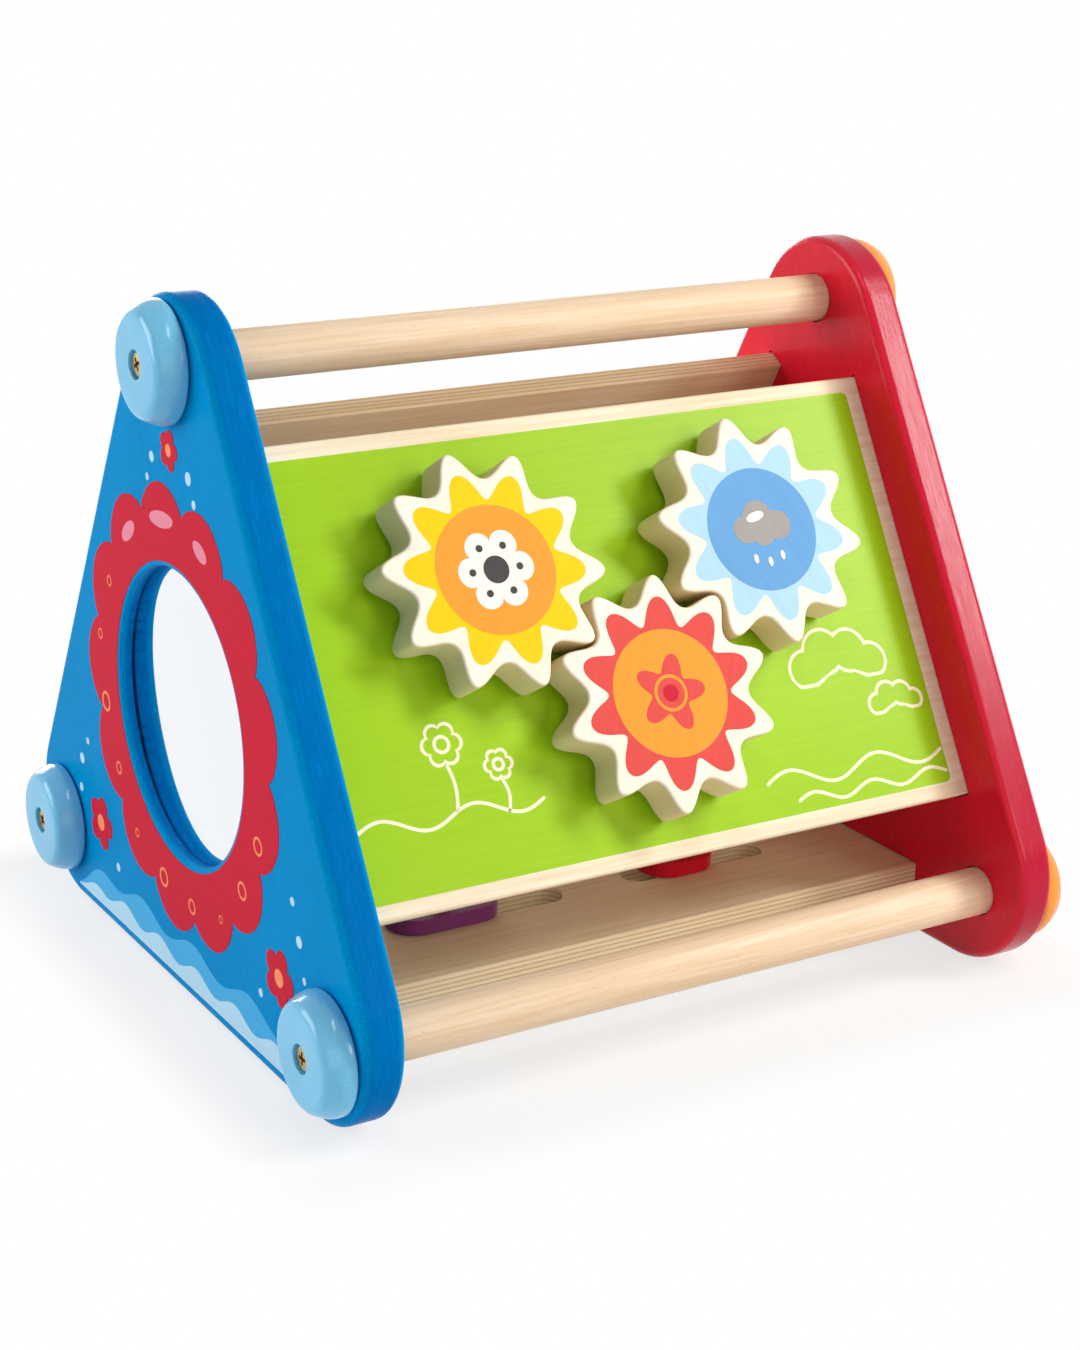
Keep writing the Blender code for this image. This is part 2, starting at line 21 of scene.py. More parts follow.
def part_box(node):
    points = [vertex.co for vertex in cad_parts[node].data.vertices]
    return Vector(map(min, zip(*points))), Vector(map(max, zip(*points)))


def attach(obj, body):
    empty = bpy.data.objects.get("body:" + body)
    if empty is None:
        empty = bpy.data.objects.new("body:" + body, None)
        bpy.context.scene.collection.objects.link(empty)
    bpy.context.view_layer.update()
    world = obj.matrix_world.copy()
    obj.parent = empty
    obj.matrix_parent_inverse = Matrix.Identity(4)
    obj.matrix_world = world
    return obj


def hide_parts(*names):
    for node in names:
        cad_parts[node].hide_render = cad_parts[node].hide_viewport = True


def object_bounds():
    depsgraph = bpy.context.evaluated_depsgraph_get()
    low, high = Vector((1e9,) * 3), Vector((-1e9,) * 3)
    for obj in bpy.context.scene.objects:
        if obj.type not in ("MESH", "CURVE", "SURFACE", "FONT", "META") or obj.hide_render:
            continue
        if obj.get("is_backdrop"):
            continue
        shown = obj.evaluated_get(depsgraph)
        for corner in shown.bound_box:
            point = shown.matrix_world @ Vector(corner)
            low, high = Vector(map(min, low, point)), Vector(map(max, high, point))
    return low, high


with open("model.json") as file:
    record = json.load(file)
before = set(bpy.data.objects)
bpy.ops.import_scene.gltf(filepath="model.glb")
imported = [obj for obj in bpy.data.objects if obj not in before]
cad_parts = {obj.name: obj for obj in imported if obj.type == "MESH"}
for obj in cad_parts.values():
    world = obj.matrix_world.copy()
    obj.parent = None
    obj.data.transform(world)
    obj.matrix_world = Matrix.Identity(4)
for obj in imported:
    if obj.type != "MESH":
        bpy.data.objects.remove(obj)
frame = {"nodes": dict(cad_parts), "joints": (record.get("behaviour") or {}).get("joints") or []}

MM = 0.001
TAU = 2 * math.pi
INK = 0.06 * MM  # thickness of one printed layer, enough to keep two layers apart
WELD = 0.001 * MM  # corners closer than this are one corner
BOARD_WIDTH = 142 * MM
FRAME_BODY = "frame"
DOWEL_NODES = ("top_handle_dowel", "front_dowel", "rear_dowel")
GEAR_COLOURS = ("yellow", "red", "blue")
TILTS = {"gear_board": 60, "bottom_board": 180, "rear_board": 300}  # turn about X, in degrees

Point = tuple[float, float]
Place = tuple[float, float, float]
Loop = list[Point]
Socket = bpy.types.NodeSocket
Tree = bpy.types.NodeTree
GeometryTree = bpy.types.GeometryNodeTree
Material = bpy.types.Material
Piece = bpy.types.Object

log = logging.getLogger("activity_triangle")


class Hue(Enum):
    """The toy's colours, as sRGB hex values."""

    PANEL_BLUE = "008ECE"
    PANEL_RED = "E0122E"
    EDGE_BLUE = "0070BA"
    EDGE_RED = "B80E32"
    CAP_BLUE = "72C6EE"
    CAP_ORANGE = "EE921C"
    PURPLE = "8C3F84"
    GREEN = "A0CE1A"
    SUN_YELLOW = "F2BE2C"
    CREAM = "FBF3D6"
    GEAR_YELLOW = "FFD20A"
    GEAR_ORANGE = "F4A238"
    GEAR_RED = "E4524C"
    GEAR_SKY = "B4DDF6"
    GEAR_BLUE = "6AA6DE"
    STONE_GREY = "A8A29E"
    CHARCOAL = "4A4648"
    WHITE = "F6F4F0"
    MOTIF_RED = "D01F38"
    MOTIF_PINK = "EE93A8"
    MOTIF_SKY = "4DB4EA"
    MOTIF_PALE = "BFE6FA"
    MOTIF_RING = "FF9A6A"


def to_linear(colour: Hue | str) -> tuple[float, float, float, float]:
    """Turn an sRGB hex colour into linear values.

    Args:
        colour: A hue, or six hex digits.

    Returns:
        Linear red, green and blue with an alpha of 1.
    """
    digits = colour.value if isinstance(colour, Hue) else colour
    shares = (int(digits[i : i + 2], 16) / 255 for i in (0, 2, 4))
    linear = [s / 12.92 if s <= 0.04045 else ((s + 0.055) / 1.055) ** 2.4 for s in shares]
    return (*linear, 1.0)


def add_node(tree: Tree, kind: str, inputs: dict | None = None, **settings: object) -> bpy.types.Node:
    """Add a node with its settings and links.

    Args:
        tree: The node tree that gets it.
        kind: The node's type name.
        inputs: Socket name or number to a value, or to the output socket that feeds it.
        **settings: Attributes of the node.

    Returns:
        The new node.
    """
    node = tree.nodes.new(kind)
    for name, value in settings.items():
        setattr(node, name, value)
    for key, value in (inputs or {}).items():
        if isinstance(value, Socket):
            tree.links.new(value, node.inputs[key])
        else:
            node.inputs[key].default_value = value
    return node


def new_material(name: str) -> tuple[Material, Tree, bpy.types.Node]:
    """Make a material with one Principled shader.

    Args:
        name: The material's name.

    Returns:
        The material, its tree and its shader.
    """
    material = bpy.data.materials.new(name)
    material.use_nodes = True
    tree = material.node_tree
    return material, tree, tree.nodes["Principled BSDF"]


def place_on(tree: Tree, plane: Matrix) -> Socket:
    """The shaded point in a plane's own axes."""
    place = add_node(tree, "ShaderNodeTexCoord")
    return add_node(tree, "ShaderNodeMapping", {
        "Vector": place.outputs["Object"], "Location": plane.translation, "Rotation": plane.to_euler(),
    }, vector_type="TEXTURE").outputs[0]


def grain_field(tree: Tree, plane: Matrix, along: float, across: float, detail: float,
                bend: float = 0.4, through: float = 0.0) -> Socket:
    """Noise drawn out along the plane's own x axis, as wood grain is.

    Args:
        tree: The material's tree.
        plane: The piece's own axes, with x along the grain.
        along: Length of one streak, in metres.
        across: Width of one streak, in metres.
        detail: Octaves of the noise.
        bend: How far the streaks wander.
        through: Thickness of one streak along the plane's z axis, or 0 for the same as its width.

    Returns:
        The noise's socket, centred near a half.
    """
    drawn = add_node(tree, "ShaderNodeMapping", {
        "Vector": place_on(tree, plane), "Scale": (1 / along, 1 / across, 1 / (through or across)),
    })
    return add_node(tree, "ShaderNodeTexNoise", {
        "Vector": drawn.outputs[0], "Scale": 1.0, "Detail": detail, "Roughness": 0.6, "Distortion": bend,
    }).outputs[0]


def plane_height(tree: Tree, plane: Matrix) -> Socket:
    """Height of the shaded point over a plane, along the plane's own z axis."""
    return add_node(tree, "ShaderNodeSeparateXYZ", {0: place_on(tree, plane)}).outputs["Z"]


def calculate(tree: Tree, operation: str, *values: Socket | float) -> Socket:
    """One step of arithmetic in a tree, on sockets or numbers."""
    return add_node(tree, "ShaderNodeMath", dict(enumerate(values)), operation=operation).outputs[0]


def blend_colours(tree: Tree, factor: Socket | float, first: Socket | tuple,
                  second: Socket | tuple) -> Socket:
    """Mix two colours and return the output socket."""
    mixed = add_node(tree, "ShaderNodeMix", {0: factor, 6: first, 7: second}, data_type="RGBA")
    return mixed.outputs[2]


def steps_between(tree: Tree, value: Socket, low: float, high: float,
                  top: float = 1.0) -> Socket:
    """Stretch a value so that low becomes 0 and high becomes top, smoothly and clamped."""
    ranged = add_node(tree, "ShaderNodeMapRange", {
        "Value": value, "From Min": low, "From Max": high, "To Min": 0.0, "To Max": top,
    }, interpolation_type="SMOOTHSTEP")
    return ranged.outputs[0]


def shade(colour: Hue | str, factor: float) -> tuple[float, float, float, float]:
    """A linear colour made darker (below 1) or lighter (above 1)."""
    red, green, blue, _ = to_linear(colour)
    return (min(red * factor, 1), min(green * factor, 1), min(blue * factor, 1), 1.0)


def finish_surface(tree: Tree, shader: bpy.types.Node, colour: Socket,
                   height: Socket, strength: float, depth: float, roughness: float,
                   gloss: float) -> None:
    """Connect a finish to its shader.

    Args:
        tree: The material's tree.
        shader: Its Principled shader.
        colour: The colour's socket.
        height: The socket of the surface's relief.
        strength: How strongly the relief tilts the light.
        depth: Depth of the relief, in metres.
        roughness: Roughness of the surface.
        gloss: Its specular level.
    """
    tree.links.new(colour, shader.inputs["Base Color"])
    bump = add_node(tree, "ShaderNodeBump", {"Height": height, "Strength": strength, "Distance": depth})
    tree.links.new(bump.outputs[0], shader.inputs["Normal"])
    shader.inputs["Roughness"].default_value = roughness
    shader.inputs["Specular IOR Level"].default_value = gloss


@dataclass(frozen=True)
class BareWood:
    """Sanded beech or lime wood under a clear matt varnish: fine streaks and short dark flecks."""

    name: str
    light: str
    dark: str
    plane: Matrix = field(default_factory=lambda: Matrix.Identity(4), hash=False, compare=False)
    streak_length: float = 60 * MM
    streak_width: float = 1.6 * MM
    fleck_share: float = 0.35
    roughness: float = 0.5
    gloss: float = 0.25
    # tone of the sides: partly end grain, partly painted shade
    side: str = ""
    face_height: float = 0.0

    def build(self) -> Material:
        """Make the material.

        Returns:
            Wood with streaks of the two colours, pores that darken it, and a faint relief.
        """
        material, tree, shader = new_material(self.name)
        streaks = grain_field(tree, self.plane, self.streak_length, self.streak_width, 5.0)
        broad = grain_field(tree, self.plane, self.streak_length * 2.5, self.streak_width * 6, 2.0)
        fine = steps_between(tree, streaks, 0.3, 0.72)
        wide = steps_between(tree, broad, 0.35, 0.7, 0.55)
        base = blend_colours(tree, fine, to_linear(self.light), to_linear(self.dark))
        base = blend_colours(tree, wide, base, to_linear(self.dark))
        if self.side:
            # The sides get a warmer, darker tan than the sanded face: partly the sawn end grain, partly
            # painted shade on sides that face away from the light.
            height = plane_height(tree, self.plane)
            raised = steps_between(tree, height, self.face_height - 0.8 * MM, self.face_height)
            base = blend_colours(tree, raised, to_linear(self.side), base)
        # Beech shows ray flecks about 2 mm long and a few tenths wide.
        flecks = grain_field(tree, self.plane, 2.4 * MM, 0.34 * MM, 1.0, 0.0)
        spots = steps_between(tree, flecks, 0.68, 0.78, self.fleck_share)
        base = blend_colours(tree, spots, base, shade(self.dark, 0.55))
        finish_surface(tree, shader, base, streaks, 0.12, 0.15 * MM, self.roughness, self.gloss)
        return material


@dataclass(frozen=True)
class Plywood:
    """Bare sanded birch plywood: grain on the faces and stacked plies on the cut edges."""

    name: str
    plane: Matrix = field(hash=False, compare=False)
    thickness: float = 7 * MM
    plies: int = 9
    light: str = "F8ECD4"
    dark: str = "EBD5AF"
    edge: str = "A8794A"
    roughness: float = 0.6
    gloss: float = 0.25

    def build(self) -> Material:
        """Make the material.

        Returns:
            Wood whose cross plies show as darker bands where the board's thickness is seen.
        """
        material, tree, shader = new_material(self.name)
        streaks = grain_field(tree, self.plane, 70 * MM, 1.8 * MM, 5.0)
        fine = steps_between(tree, streaks, 0.3, 0.75)
        face = blend_colours(tree, fine, to_linear(self.light), to_linear(self.dark))
        # One wave for each pair of plies, with its pale crest on the board's middle and outer plies.
        turns_per_metre = TAU * self.plies / (2 * self.thickness)
        phase = calculate(tree, "MULTIPLY", plane_height(tree, self.plane), turns_per_metre)
        band = steps_between(tree, calculate(tree, "COSINE", phase), 0.05, -0.45, 0.62)
        mottle = grain_field(tree, self.plane, 1.2 * MM, 0.5 * MM, 2.0)
        cut = blend_colours(tree, mottle, to_linear(self.edge), to_linear(self.dark))
        base = blend_colours(tree, band, face, cut)
        finish_surface(tree, shader, base, streaks, 0.15, 0.15 * MM, self.roughness, self.gloss)
        return material


@dataclass(frozen=True)
class Lacquer:
    """Coloured lacquer sprayed on wood: an even gloss with the raised grain just showing through."""

    name: str
    colour: Hue
    plane: Matrix = field(default_factory=lambda: Matrix.Identity(4), hash=False, compare=False)
    roughness: float = 0.4
    relief: float = 0.35
    gloss: float = 0.2
    thickness: float = 0.0
    edge: Hue | None = None
    # share of painted glints, pale specks that stand for sparkles of light
    painted_glint_share: float = 0.5

    def build(self) -> Material:
        """Make the material.

        Returns:
            A paint whose tone drifts a little, with fine raised grain and painted glints: pale specks
            that stand for sparkles of light off the paint. With a hue for its edge, the sawn surface
            between the faces has its own tone and streaks.
        """
        material, tree, shader = new_material(self.name)
        drift = grain_field(tree, self.plane, 90 * MM, 30 * MM, 2.0)
        grain = grain_field(tree, self.plane, 7 * MM, 0.7 * MM, 4.0)
        tone = steps_between(tree, drift, 0.3, 0.7, 0.5)
        thin = steps_between(tree, grain, 0.52, 0.75, 0.6)
        base = blend_colours(tree, tone, to_linear(self.colour), shade(self.colour, 0.86))
        base = blend_colours(tree, thin, base, shade(self.colour, 1.25))
        # Painted glints: pale specks a few tenths of a millimetre wide that stand for sparkles of light off
        # the paint.
        specks = grain_field(tree, self.plane, 0.8 * MM, 0.6 * MM, 1.0, 0.0)
        painted_glint = steps_between(tree, specks, 0.54, 0.72, self.painted_glint_share)
        base = blend_colours(tree, painted_glint, base, shade(self.colour, 1.6))
        height = grain
        if self.edge:
            # Paint sinks into the sawn edge, where the saw's marks show through as streaks along it.
            depth = calculate(tree, "ADD", plane_height(tree, self.plane), self.thickness / 2)
            away = calculate(tree, "ABSOLUTE", depth)
            on_edge = steps_between(tree, away, 0.45 * self.thickness, 0.3 * self.thickness)
            marks = grain_field(tree, self.plane, 11 * MM, 11 * MM, 5.0, 1.2, 0.8 * MM)
            streak = steps_between(tree, marks, 0.45, 0.75)
            edge = blend_colours(tree, streak, shade(self.edge, 0.96), shade(self.edge, 1.25))
            base = blend_colours(tree, on_edge, base, edge)
            height = blend_colours(tree, on_edge, height, marks)
        finish_surface(tree, shader, base, height, self.relief, 0.12 * MM, self.roughness, self.gloss)
        return material


@dataclass(frozen=True)
class ScreenPrint:
    """Screen-printed ink on sanded wood: flat colour, faint grain under it and a few pinholes."""

    name: str
    colour: Hue
    plane: Matrix = field(default_factory=lambda: Matrix.Identity(4), hash=False, compare=False)
    roughness: float = 0.45
    gloss: float = 0.08

    def build(self) -> Material:
        """Make the material.

        Returns:
            An ink that is slightly darker along the grain, with fine light specks.
        """
        material, tree, shader = new_material(self.name)
        grain = grain_field(tree, self.plane, 45 * MM, 1.4 * MM, 4.0)
        specks = grain_field(tree, self.plane, 0.9 * MM, 0.6 * MM, 1.0, 0.0)
        faint = steps_between(tree, grain, 0.35, 0.75, 0.5)
        base = blend_colours(tree, faint, to_linear(self.colour), shade(self.colour, 0.88))
        pin = steps_between(tree, specks, 0.7, 0.8, 0.3)
        base = blend_colours(tree, pin, base, shade(self.colour, 1.35))
        finish_surface(tree, shader, base, grain, 0.1, 0.1 * MM, self.roughness, self.gloss)
        return material


@dataclass(frozen=True)
class AcrylicMirror:
    """Silvered acrylic sheet: a clear reflection, a trace softer than glass."""

    name: str = "acrylic_mirror"
    tint: str = "F2F5F8"
    roughness: float = 0.03

    def build(self) -> Material:
        """Make the material.

        Returns:
            A mirror with the slow waviness of cast acrylic.
        """
        material, tree, shader = new_material(self.name)
        place = add_node(tree, "ShaderNodeTexCoord")
        waves = add_node(tree, "ShaderNodeTexNoise", {"Vector": place.outputs["Object"], "Scale": 30.0})
        relief = add_node(tree, "ShaderNodeBump", {
            "Height": waves.outputs[0], "Strength": 0.04, "Distance": 0.3 * MM,
        })
        tree.links.new(relief.outputs[0], shader.inputs["Normal"])
        shader.inputs["Base Color"].default_value = to_linear(self.tint)
        shader.inputs["Metallic"].default_value = 1.0
        shader.inputs["Roughness"].default_value = self.roughness
        return material


@dataclass(frozen=True)
class PlatedSteel:
    """Yellow-passivated zinc on steel: satin, with an uneven tint of gold and grey."""

    name: str = "yellow_zinc"
    light: str = "D9C089"
    dark: str = "9C8350"
    roughness: float = 0.32

    def build(self) -> Material:
        """Make the material.

        Returns:
            A metal whose tint drifts over a few millimetres, as the passivation does.
        """
        material, tree, shader = new_material(self.name)
        place = add_node(tree, "ShaderNodeTexCoord")
        tint = add_node(tree, "ShaderNodeTexNoise", {
            "Vector": place.outputs["Object"], "Scale": 350.0, "Detail": 3.0,
        })
        mixed = blend_colours(tree, tint.outputs[0], to_linear(self.light), to_linear(self.dark))
        tree.links.new(mixed, shader.inputs["Base Color"])
        shader.inputs["Metallic"].default_value = 1.0
        shader.inputs["Roughness"].default_value = self.roughness
        return material


Finish = BareWood | Plywood | Lacquer | ScreenPrint | AcrylicMirror | PlatedSteel


class Shelf:
    """The finished materials, each made once and found by its finish."""

    def __init__(self) -> None:
        """Start with no materials."""
        self._made: dict[str, Material] = {}

    def take(self, finish: Finish) -> Material:
        """Return the finish's material, and make it on the first call."""
        if finish.name not in self._made:
            self._made[finish.name] = finish.build()
        return self._made[finish.name]


shelf = Shelf()


def small_parts_wood(name: str, plane: Matrix) -> Material:
    """The plain wood of the knobs and of the pieces behind the gears."""
    return shelf.take(BareWood(name, "F1E0C4", "DFC69B", plane, 30 * MM, 1.5 * MM))


@dataclass(frozen=True)
class Layout:
    """Main places of the toy, read from the frame."""

    centre: Vector
    inradius: float
    stand_out: float
    board_thickness: float
    dowel_radius: float

    @classmethod
    def read(cls) -> "Layout":
        """Read the places from the dowels and the bottom board.

        Returns:
            The layout that every class below works from.
        """
        dowels = [middle(node) for node in DOWEL_NODES]
        centre = sum(dowels, Vector()) / len(dowels)
        inradius = centre.z - dowels[1].z
        low, high = (Vector(v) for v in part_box("bottom_board"))
        dowel_low, dowel_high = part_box(DOWEL_NODES[0])
        return cls(centre, inradius, centre.z - inradius - low.z, high.z - low.z,
                   (dowel_high[2] - dowel_low[2]) / 2)

    def board_plane(self, tilt: float, out: float) -> Matrix:
        """A plane on one side of the toy: x along the dowels, z outwards.

        Args:
            tilt: The side's turn about X, in degrees, one of TILTS.
            out: How far outside the plane through the dowel axes it lies.

        Returns:
            The matrix from the plane's axes to the frame's.
        """
        turn = Matrix.Rotation(math.radians(tilt), 4, "X")
        return Matrix.Translation(self.centre) @ turn @ Matrix.Translation((0, 0, self.inradius + out))

    def end_plane(self, side: int, x: float) -> Matrix:
        """A plane across the dowels, seen from that end: y up, z out of the toy."""
        outward, up = Vector((side, 0, 0)), Vector((0, 0, 1))
        turn = Matrix((up.cross(outward), up, outward)).transposed().to_4x4()
        return Matrix.Translation((x, 0, self.centre.z)) @ turn

    def end_plane_at(self, side: int, x: float, y: float, z: float) -> Matrix:
        """The same plane with its origin at that place of the frame."""
        return Matrix.Translation((0, y, z - self.centre.z)) @ self.end_plane(side, x)


def middle(node: str) -> Vector:
    """The middle of a CAD node's box."""
    low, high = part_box(node)
    return (Vector(low) + Vector(high)) / 2


def axle_place(colour: str) -> Vector:
    """Where a gear's joint has its axis."""
    return next(Vector(j["pos_m"]) for j in frame["joints"] if j["name"] == f"{colour}_gear_spin")


def polar(reach: float, degrees: float, centre: Point = (0, 0)) -> Point:
    """The point at that distance and angle from a centre."""
    angle = math.radians(degrees)
    return (centre[0] + reach * math.cos(angle), centre[1] + reach * math.sin(angle))


def arc(centre: Point, radius: float, start: float, end: float, steps: int) -> Loop:
    """Points on an arc between two angles in degrees, both ends included."""
    return [polar(radius, start + (end - start) * i / steps, centre) for i in range(steps + 1)]


def disc(centre: Point, radius: float, steps: int = 64) -> Loop:
    """A circle's points, without a repeated end."""
    return arc(centre, radius, 0, 360 - 360 / steps, steps - 1)


def oval(centre: Point, radii: Point, turn: float, steps: int = 40) -> Loop:
    """An ellipse's points, turned by an angle in degrees."""
    cos, sin = math.cos(math.radians(turn)), math.sin(math.radians(turn))
    return [(centre[0] + x * radii[0] * cos - y * radii[1] * sin,
             centre[1] + x * radii[0] * sin + y * radii[1] * cos) for x, y in disc((0, 0), 1, steps)]


def ring(centre: Point, radius: float, width: float, steps: int = 40) -> list[Loop]:
    """An outline circle of that line width: its outer edge and its hole."""
    return [disc(centre, radius + width / 2, steps), disc(centre, radius - width / 2, steps)]


def polar_loop(radius_at: Callable[[float], float], steps: int, centre: Point = (0, 0)) -> Loop:
    """A closed outline from a radius that depends on the angle in radians."""
    points = []
    for i in range(steps):
        angle = TAU * i / steps
        reach = radius_at(angle)
        points.append((centre[0] + reach * math.cos(angle), centre[1] + reach * math.sin(angle)))
    return points


def bumpy_loop(hubs: Sequence[tuple[float, float, float]], steps: int = 160,
               floor: float | None = None) -> Loop:
    """The outline of overlapping discs about the origin, as a cloud's.

    Args:
        hubs: (x, y, radius) of each disc.
        steps: Points on the outline.
        floor: Where a flat base cuts it off, if it has one.

    Returns:
        The outline's points.
    """
    points: Loop = []
    for i in range(steps):
        ray = Vector((math.cos(TAU * i / steps), math.sin(TAU * i / steps)))
        reach = 0.0
        for x, y, radius in hubs:
            along = x * ray.x + y * ray.y
            off = x * x + y * y - along * along
            if off < radius * radius:
                reach = max(reach, along + math.sqrt(radius * radius - off))
        if floor is not None and ray.y < 0:
            reach = min(reach, floor / ray.y)
        points.append((reach * ray.x, reach * ray.y))
    return points


def rounded_rectangle(length: float, width: float, radius: float, steps: int = 8) -> Loop:
    """A rectangle with round corners about the origin, counter-clockwise."""
    half_x, half_y = length / 2 - radius, width / 2 - radius
    points: Loop = []
    for sign_x, sign_y, start in ((1, 1, 0), (-1, 1, 90), (-1, -1, 180), (1, -1, 270)):
        points += arc((sign_x * half_x, sign_y * half_y), radius, start, start + 90, steps)
    return points


def brush_line(points: Sequence[Point], width: float) -> Loop:
    """A line of even width with round ends, as one closed outline.

    Args:
        points: The middle of the line, close together where it bends.
        width: The line's width.

    Returns:
        The outline, up one side and down the other.
    """
    left: Loop = []
    right: Loop = []
    for i, (x, y) in enumerate(points):
        before, after = points[max(i - 1, 0)], points[min(i + 1, len(points) - 1)]
        run_x, run_y = after[0] - before[0], after[1] - before[1]
        size = math.hypot(run_x, run_y)
        side_x, side_y = -run_y / size * width / 2, run_x / size * width / 2
        left.append((x + side_x, y + side_y))
        right.append((x - side_x, y - side_y))
    first, last = points[0], points[-1]
    heading = math.degrees(math.atan2(right[-1][1] - last[1], right[-1][0] - last[0]))
    tail = math.degrees(math.atan2(left[0][1] - first[1], left[0][0] - first[0]))
    cap = arc(last, width / 2, heading, heading + 180, 6)[1:-1]
    root = arc(first, width / 2, tail, tail + 180, 6)[1:-1]
    return right + cap + left[::-1] + root


def mesh_object(name: str, mesh: bpy.types.Mesh, material: Material | None = None) -> Piece:
    """Put a mesh in the scene under a name, with its material."""
    made = bpy.data.objects.new(name, mesh)
    bpy.context.scene.collection.objects.link(made)
    if material is not None:
        mesh.materials.clear()
        mesh.materials.append(material)
    return made


def settle(piece: Piece) -> Piece:
    """Apply a piece's modifiers and its place, so that it ends as a plain mesh at the origin."""
    bpy.context.view_layer.update()
    graph = bpy.context.evaluated_depsgraph_get()
    mesh = bpy.data.meshes.new_from_object(piece.evaluated_get(graph))
    mesh.transform(piece.matrix_world)
    piece.modifiers.clear()
    piece.matrix_world = Matrix.Identity(4)
    piece.data = mesh
    mesh.name = piece.name
    return piece


def smooth(piece: Piece, sharp: float = 32) -> None:
    """Shade a piece smooth, with edges sharper than that angle kept."""
    for polygon in piece.data.polygons:
        polygon.use_smooth = True
    piece.data.set_sharp_from_angle(angle=math.radians(sharp))


def slab(name: str, loops: Sequence[Loop], bottom: float, top: float, plane: Matrix,
         material: Material) -> Piece:
    """A flat piece with the given outlines, between two heights over a plane.

    Args:
        name: The piece's name.
        loops: Outlines in the plane's axes; one inside another is a hole.
        bottom: Height of its lower face.
        top: Height of its upper face.
        plane: The plane's axes.
        material: Its finish.

    Returns:
        A plain mesh in place.
    """
    curve = bpy.data.curves.new(name, "CURVE")
    curve.dimensions = "2D"
    curve.fill_mode = "BOTH"
    curve.extrude = (top - bottom) / 2
    for loop in loops:
        spline = curve.splines.new("POLY")
        spline.points.add(len(loop) - 1)
        for point, (x, y) in zip(spline.points, loop):
            point.co = (x, y, 0, 1)
        spline.use_cyclic_u = True
    holder = bpy.data.objects.new(name, curve)
    bpy.context.scene.collection.objects.link(holder)
    bpy.context.view_layer.update()
    mesh = bpy.data.meshes.new_from_object(holder.evaluated_get(bpy.context.evaluated_depsgraph_get()))
    bpy.data.objects.remove(holder, do_unlink=True)
    bpy.data.curves.remove(curve)
    built = bmesh.new()
    built.from_mesh(mesh)
    bmesh.ops.remove_doubles(built, verts=built.verts, dist=WELD)
    bmesh.ops.recalc_face_normals(built, faces=built.faces)
    bmesh.ops.dissolve_limit(built, angle_limit=math.radians(1), verts=built.verts, edges=built.edges)
    built.to_mesh(mesh)
    built.free()
    mesh.transform(plane @ Matrix.Translation((0, 0, (bottom + top) / 2)))
    return mesh_object(name, mesh, material)


def turned(name: str, profile: Sequence[Point], plane: Matrix, material: Material,
           steps: int = 96) -> Piece:
    """A turned piece from a profile of (radius, height), closed by the turn.

    Args:
        name: The piece's name.
        profile: The profile, a closed ring of points if none is on the axis.
        plane: Axes whose z is the turning axis.
        material: Its finish.
        steps: Facets round the axis.

    Returns:
        A plain mesh in place.
    """
    mesh = bpy.data.meshes.new(name)
    built = bmesh.new()
    points = [built.verts.new((radius, 0, height)) for radius, height in profile]
    for first, second in zip(points, points[1:]):
        built.edges.new((first, second))
    if profile[0][0] > 0:
        built.edges.new((points[-1], points[0]))
    bmesh.ops.spin(built, geom=built.verts[:] + built.edges[:], cent=(0, 0, 0), axis=(0, 0, 1),
                   angle=TAU, steps=steps, use_merge=True)
    bmesh.ops.remove_doubles(built, verts=built.verts, dist=WELD)
    bmesh.ops.recalc_face_normals(built, faces=built.faces)
    built.to_mesh(mesh)
    built.free()
    mesh.transform(plane)
    piece = mesh_object(name, mesh, material)
    smooth(piece)
    return piece


def flatten_faces(piece: Piece) -> None:
    """Shade a piece smooth with its large faces kept flat, by weighting the normals by area."""
    smooth(piece)
    weighted = piece.modifiers.new("even_shading", "WEIGHTED_NORMAL")
    weighted.keep_sharp = True
    settle(piece)


def soften(piece: Piece, width: float, segments: int, sharp: float = 50) -> None:
    """Round every edge of a piece that is sharper than that angle."""
    built = bmesh.new()
    built.from_mesh(piece.data)
    edges = [e for e in built.edges if len(e.link_faces) == 2 and e.calc_face_angle() > math.radians(sharp)]
    bmesh.ops.bevel(built, geom=edges, offset=width, segments=segments, profile=0.5, affect="EDGES",
                    clamp_overlap=True, material=-1)
    built.to_mesh(piece.data)
    built.free()
    flatten_faces(piece)


def carve(piece: Piece, cutters: Sequence[Piece]) -> None:
    """Cut pieces out of another, and delete the cutters."""
    for cutter in cutters:
        boolean = piece.modifiers.new(cutter.name, "BOOLEAN")
        boolean.operation = "DIFFERENCE"
        boolean.object = cutter
    settle(piece)
    for cutter in cutters:
        bpy.data.objects.remove(cutter, do_unlink=True)


def rounded_profile(corners: Sequence[tuple[float, float, float]], steps: int = 6) -> list[Point]:
    """Round the corners of a profile.

    Args:
        corners: (radius, height, rounding) of each corner, in order.
        steps: Segments in each rounding.

    Returns:
        The profile's points.
    """
    points: list[Point] = []
    for i, (x, y, rounding) in enumerate(corners):
        here = Vector((x, y))
        if rounding <= 0 or i in (0, len(corners) - 1):
            points.append((x, y))
            continue
        before = (Vector(corners[i - 1][:2]) - here).normalized()
        after = (Vector(corners[i + 1][:2]) - here).normalized()
        half = before.angle(after) / 2
        run = rounding / math.tan(half)
        hub = here + (before + after).normalized() * (rounding / math.sin(half))
        start, end = here + before * run - hub, here + after * run - hub
        swing = start.angle_signed(end)
        for k in range(steps + 1):
            turn = -swing * k / steps
            cos, sin = math.cos(turn), math.sin(turn)
            points.append((hub.x + start.x * cos - start.y * sin, hub.y + start.x * sin + start.y * cos))
    return points


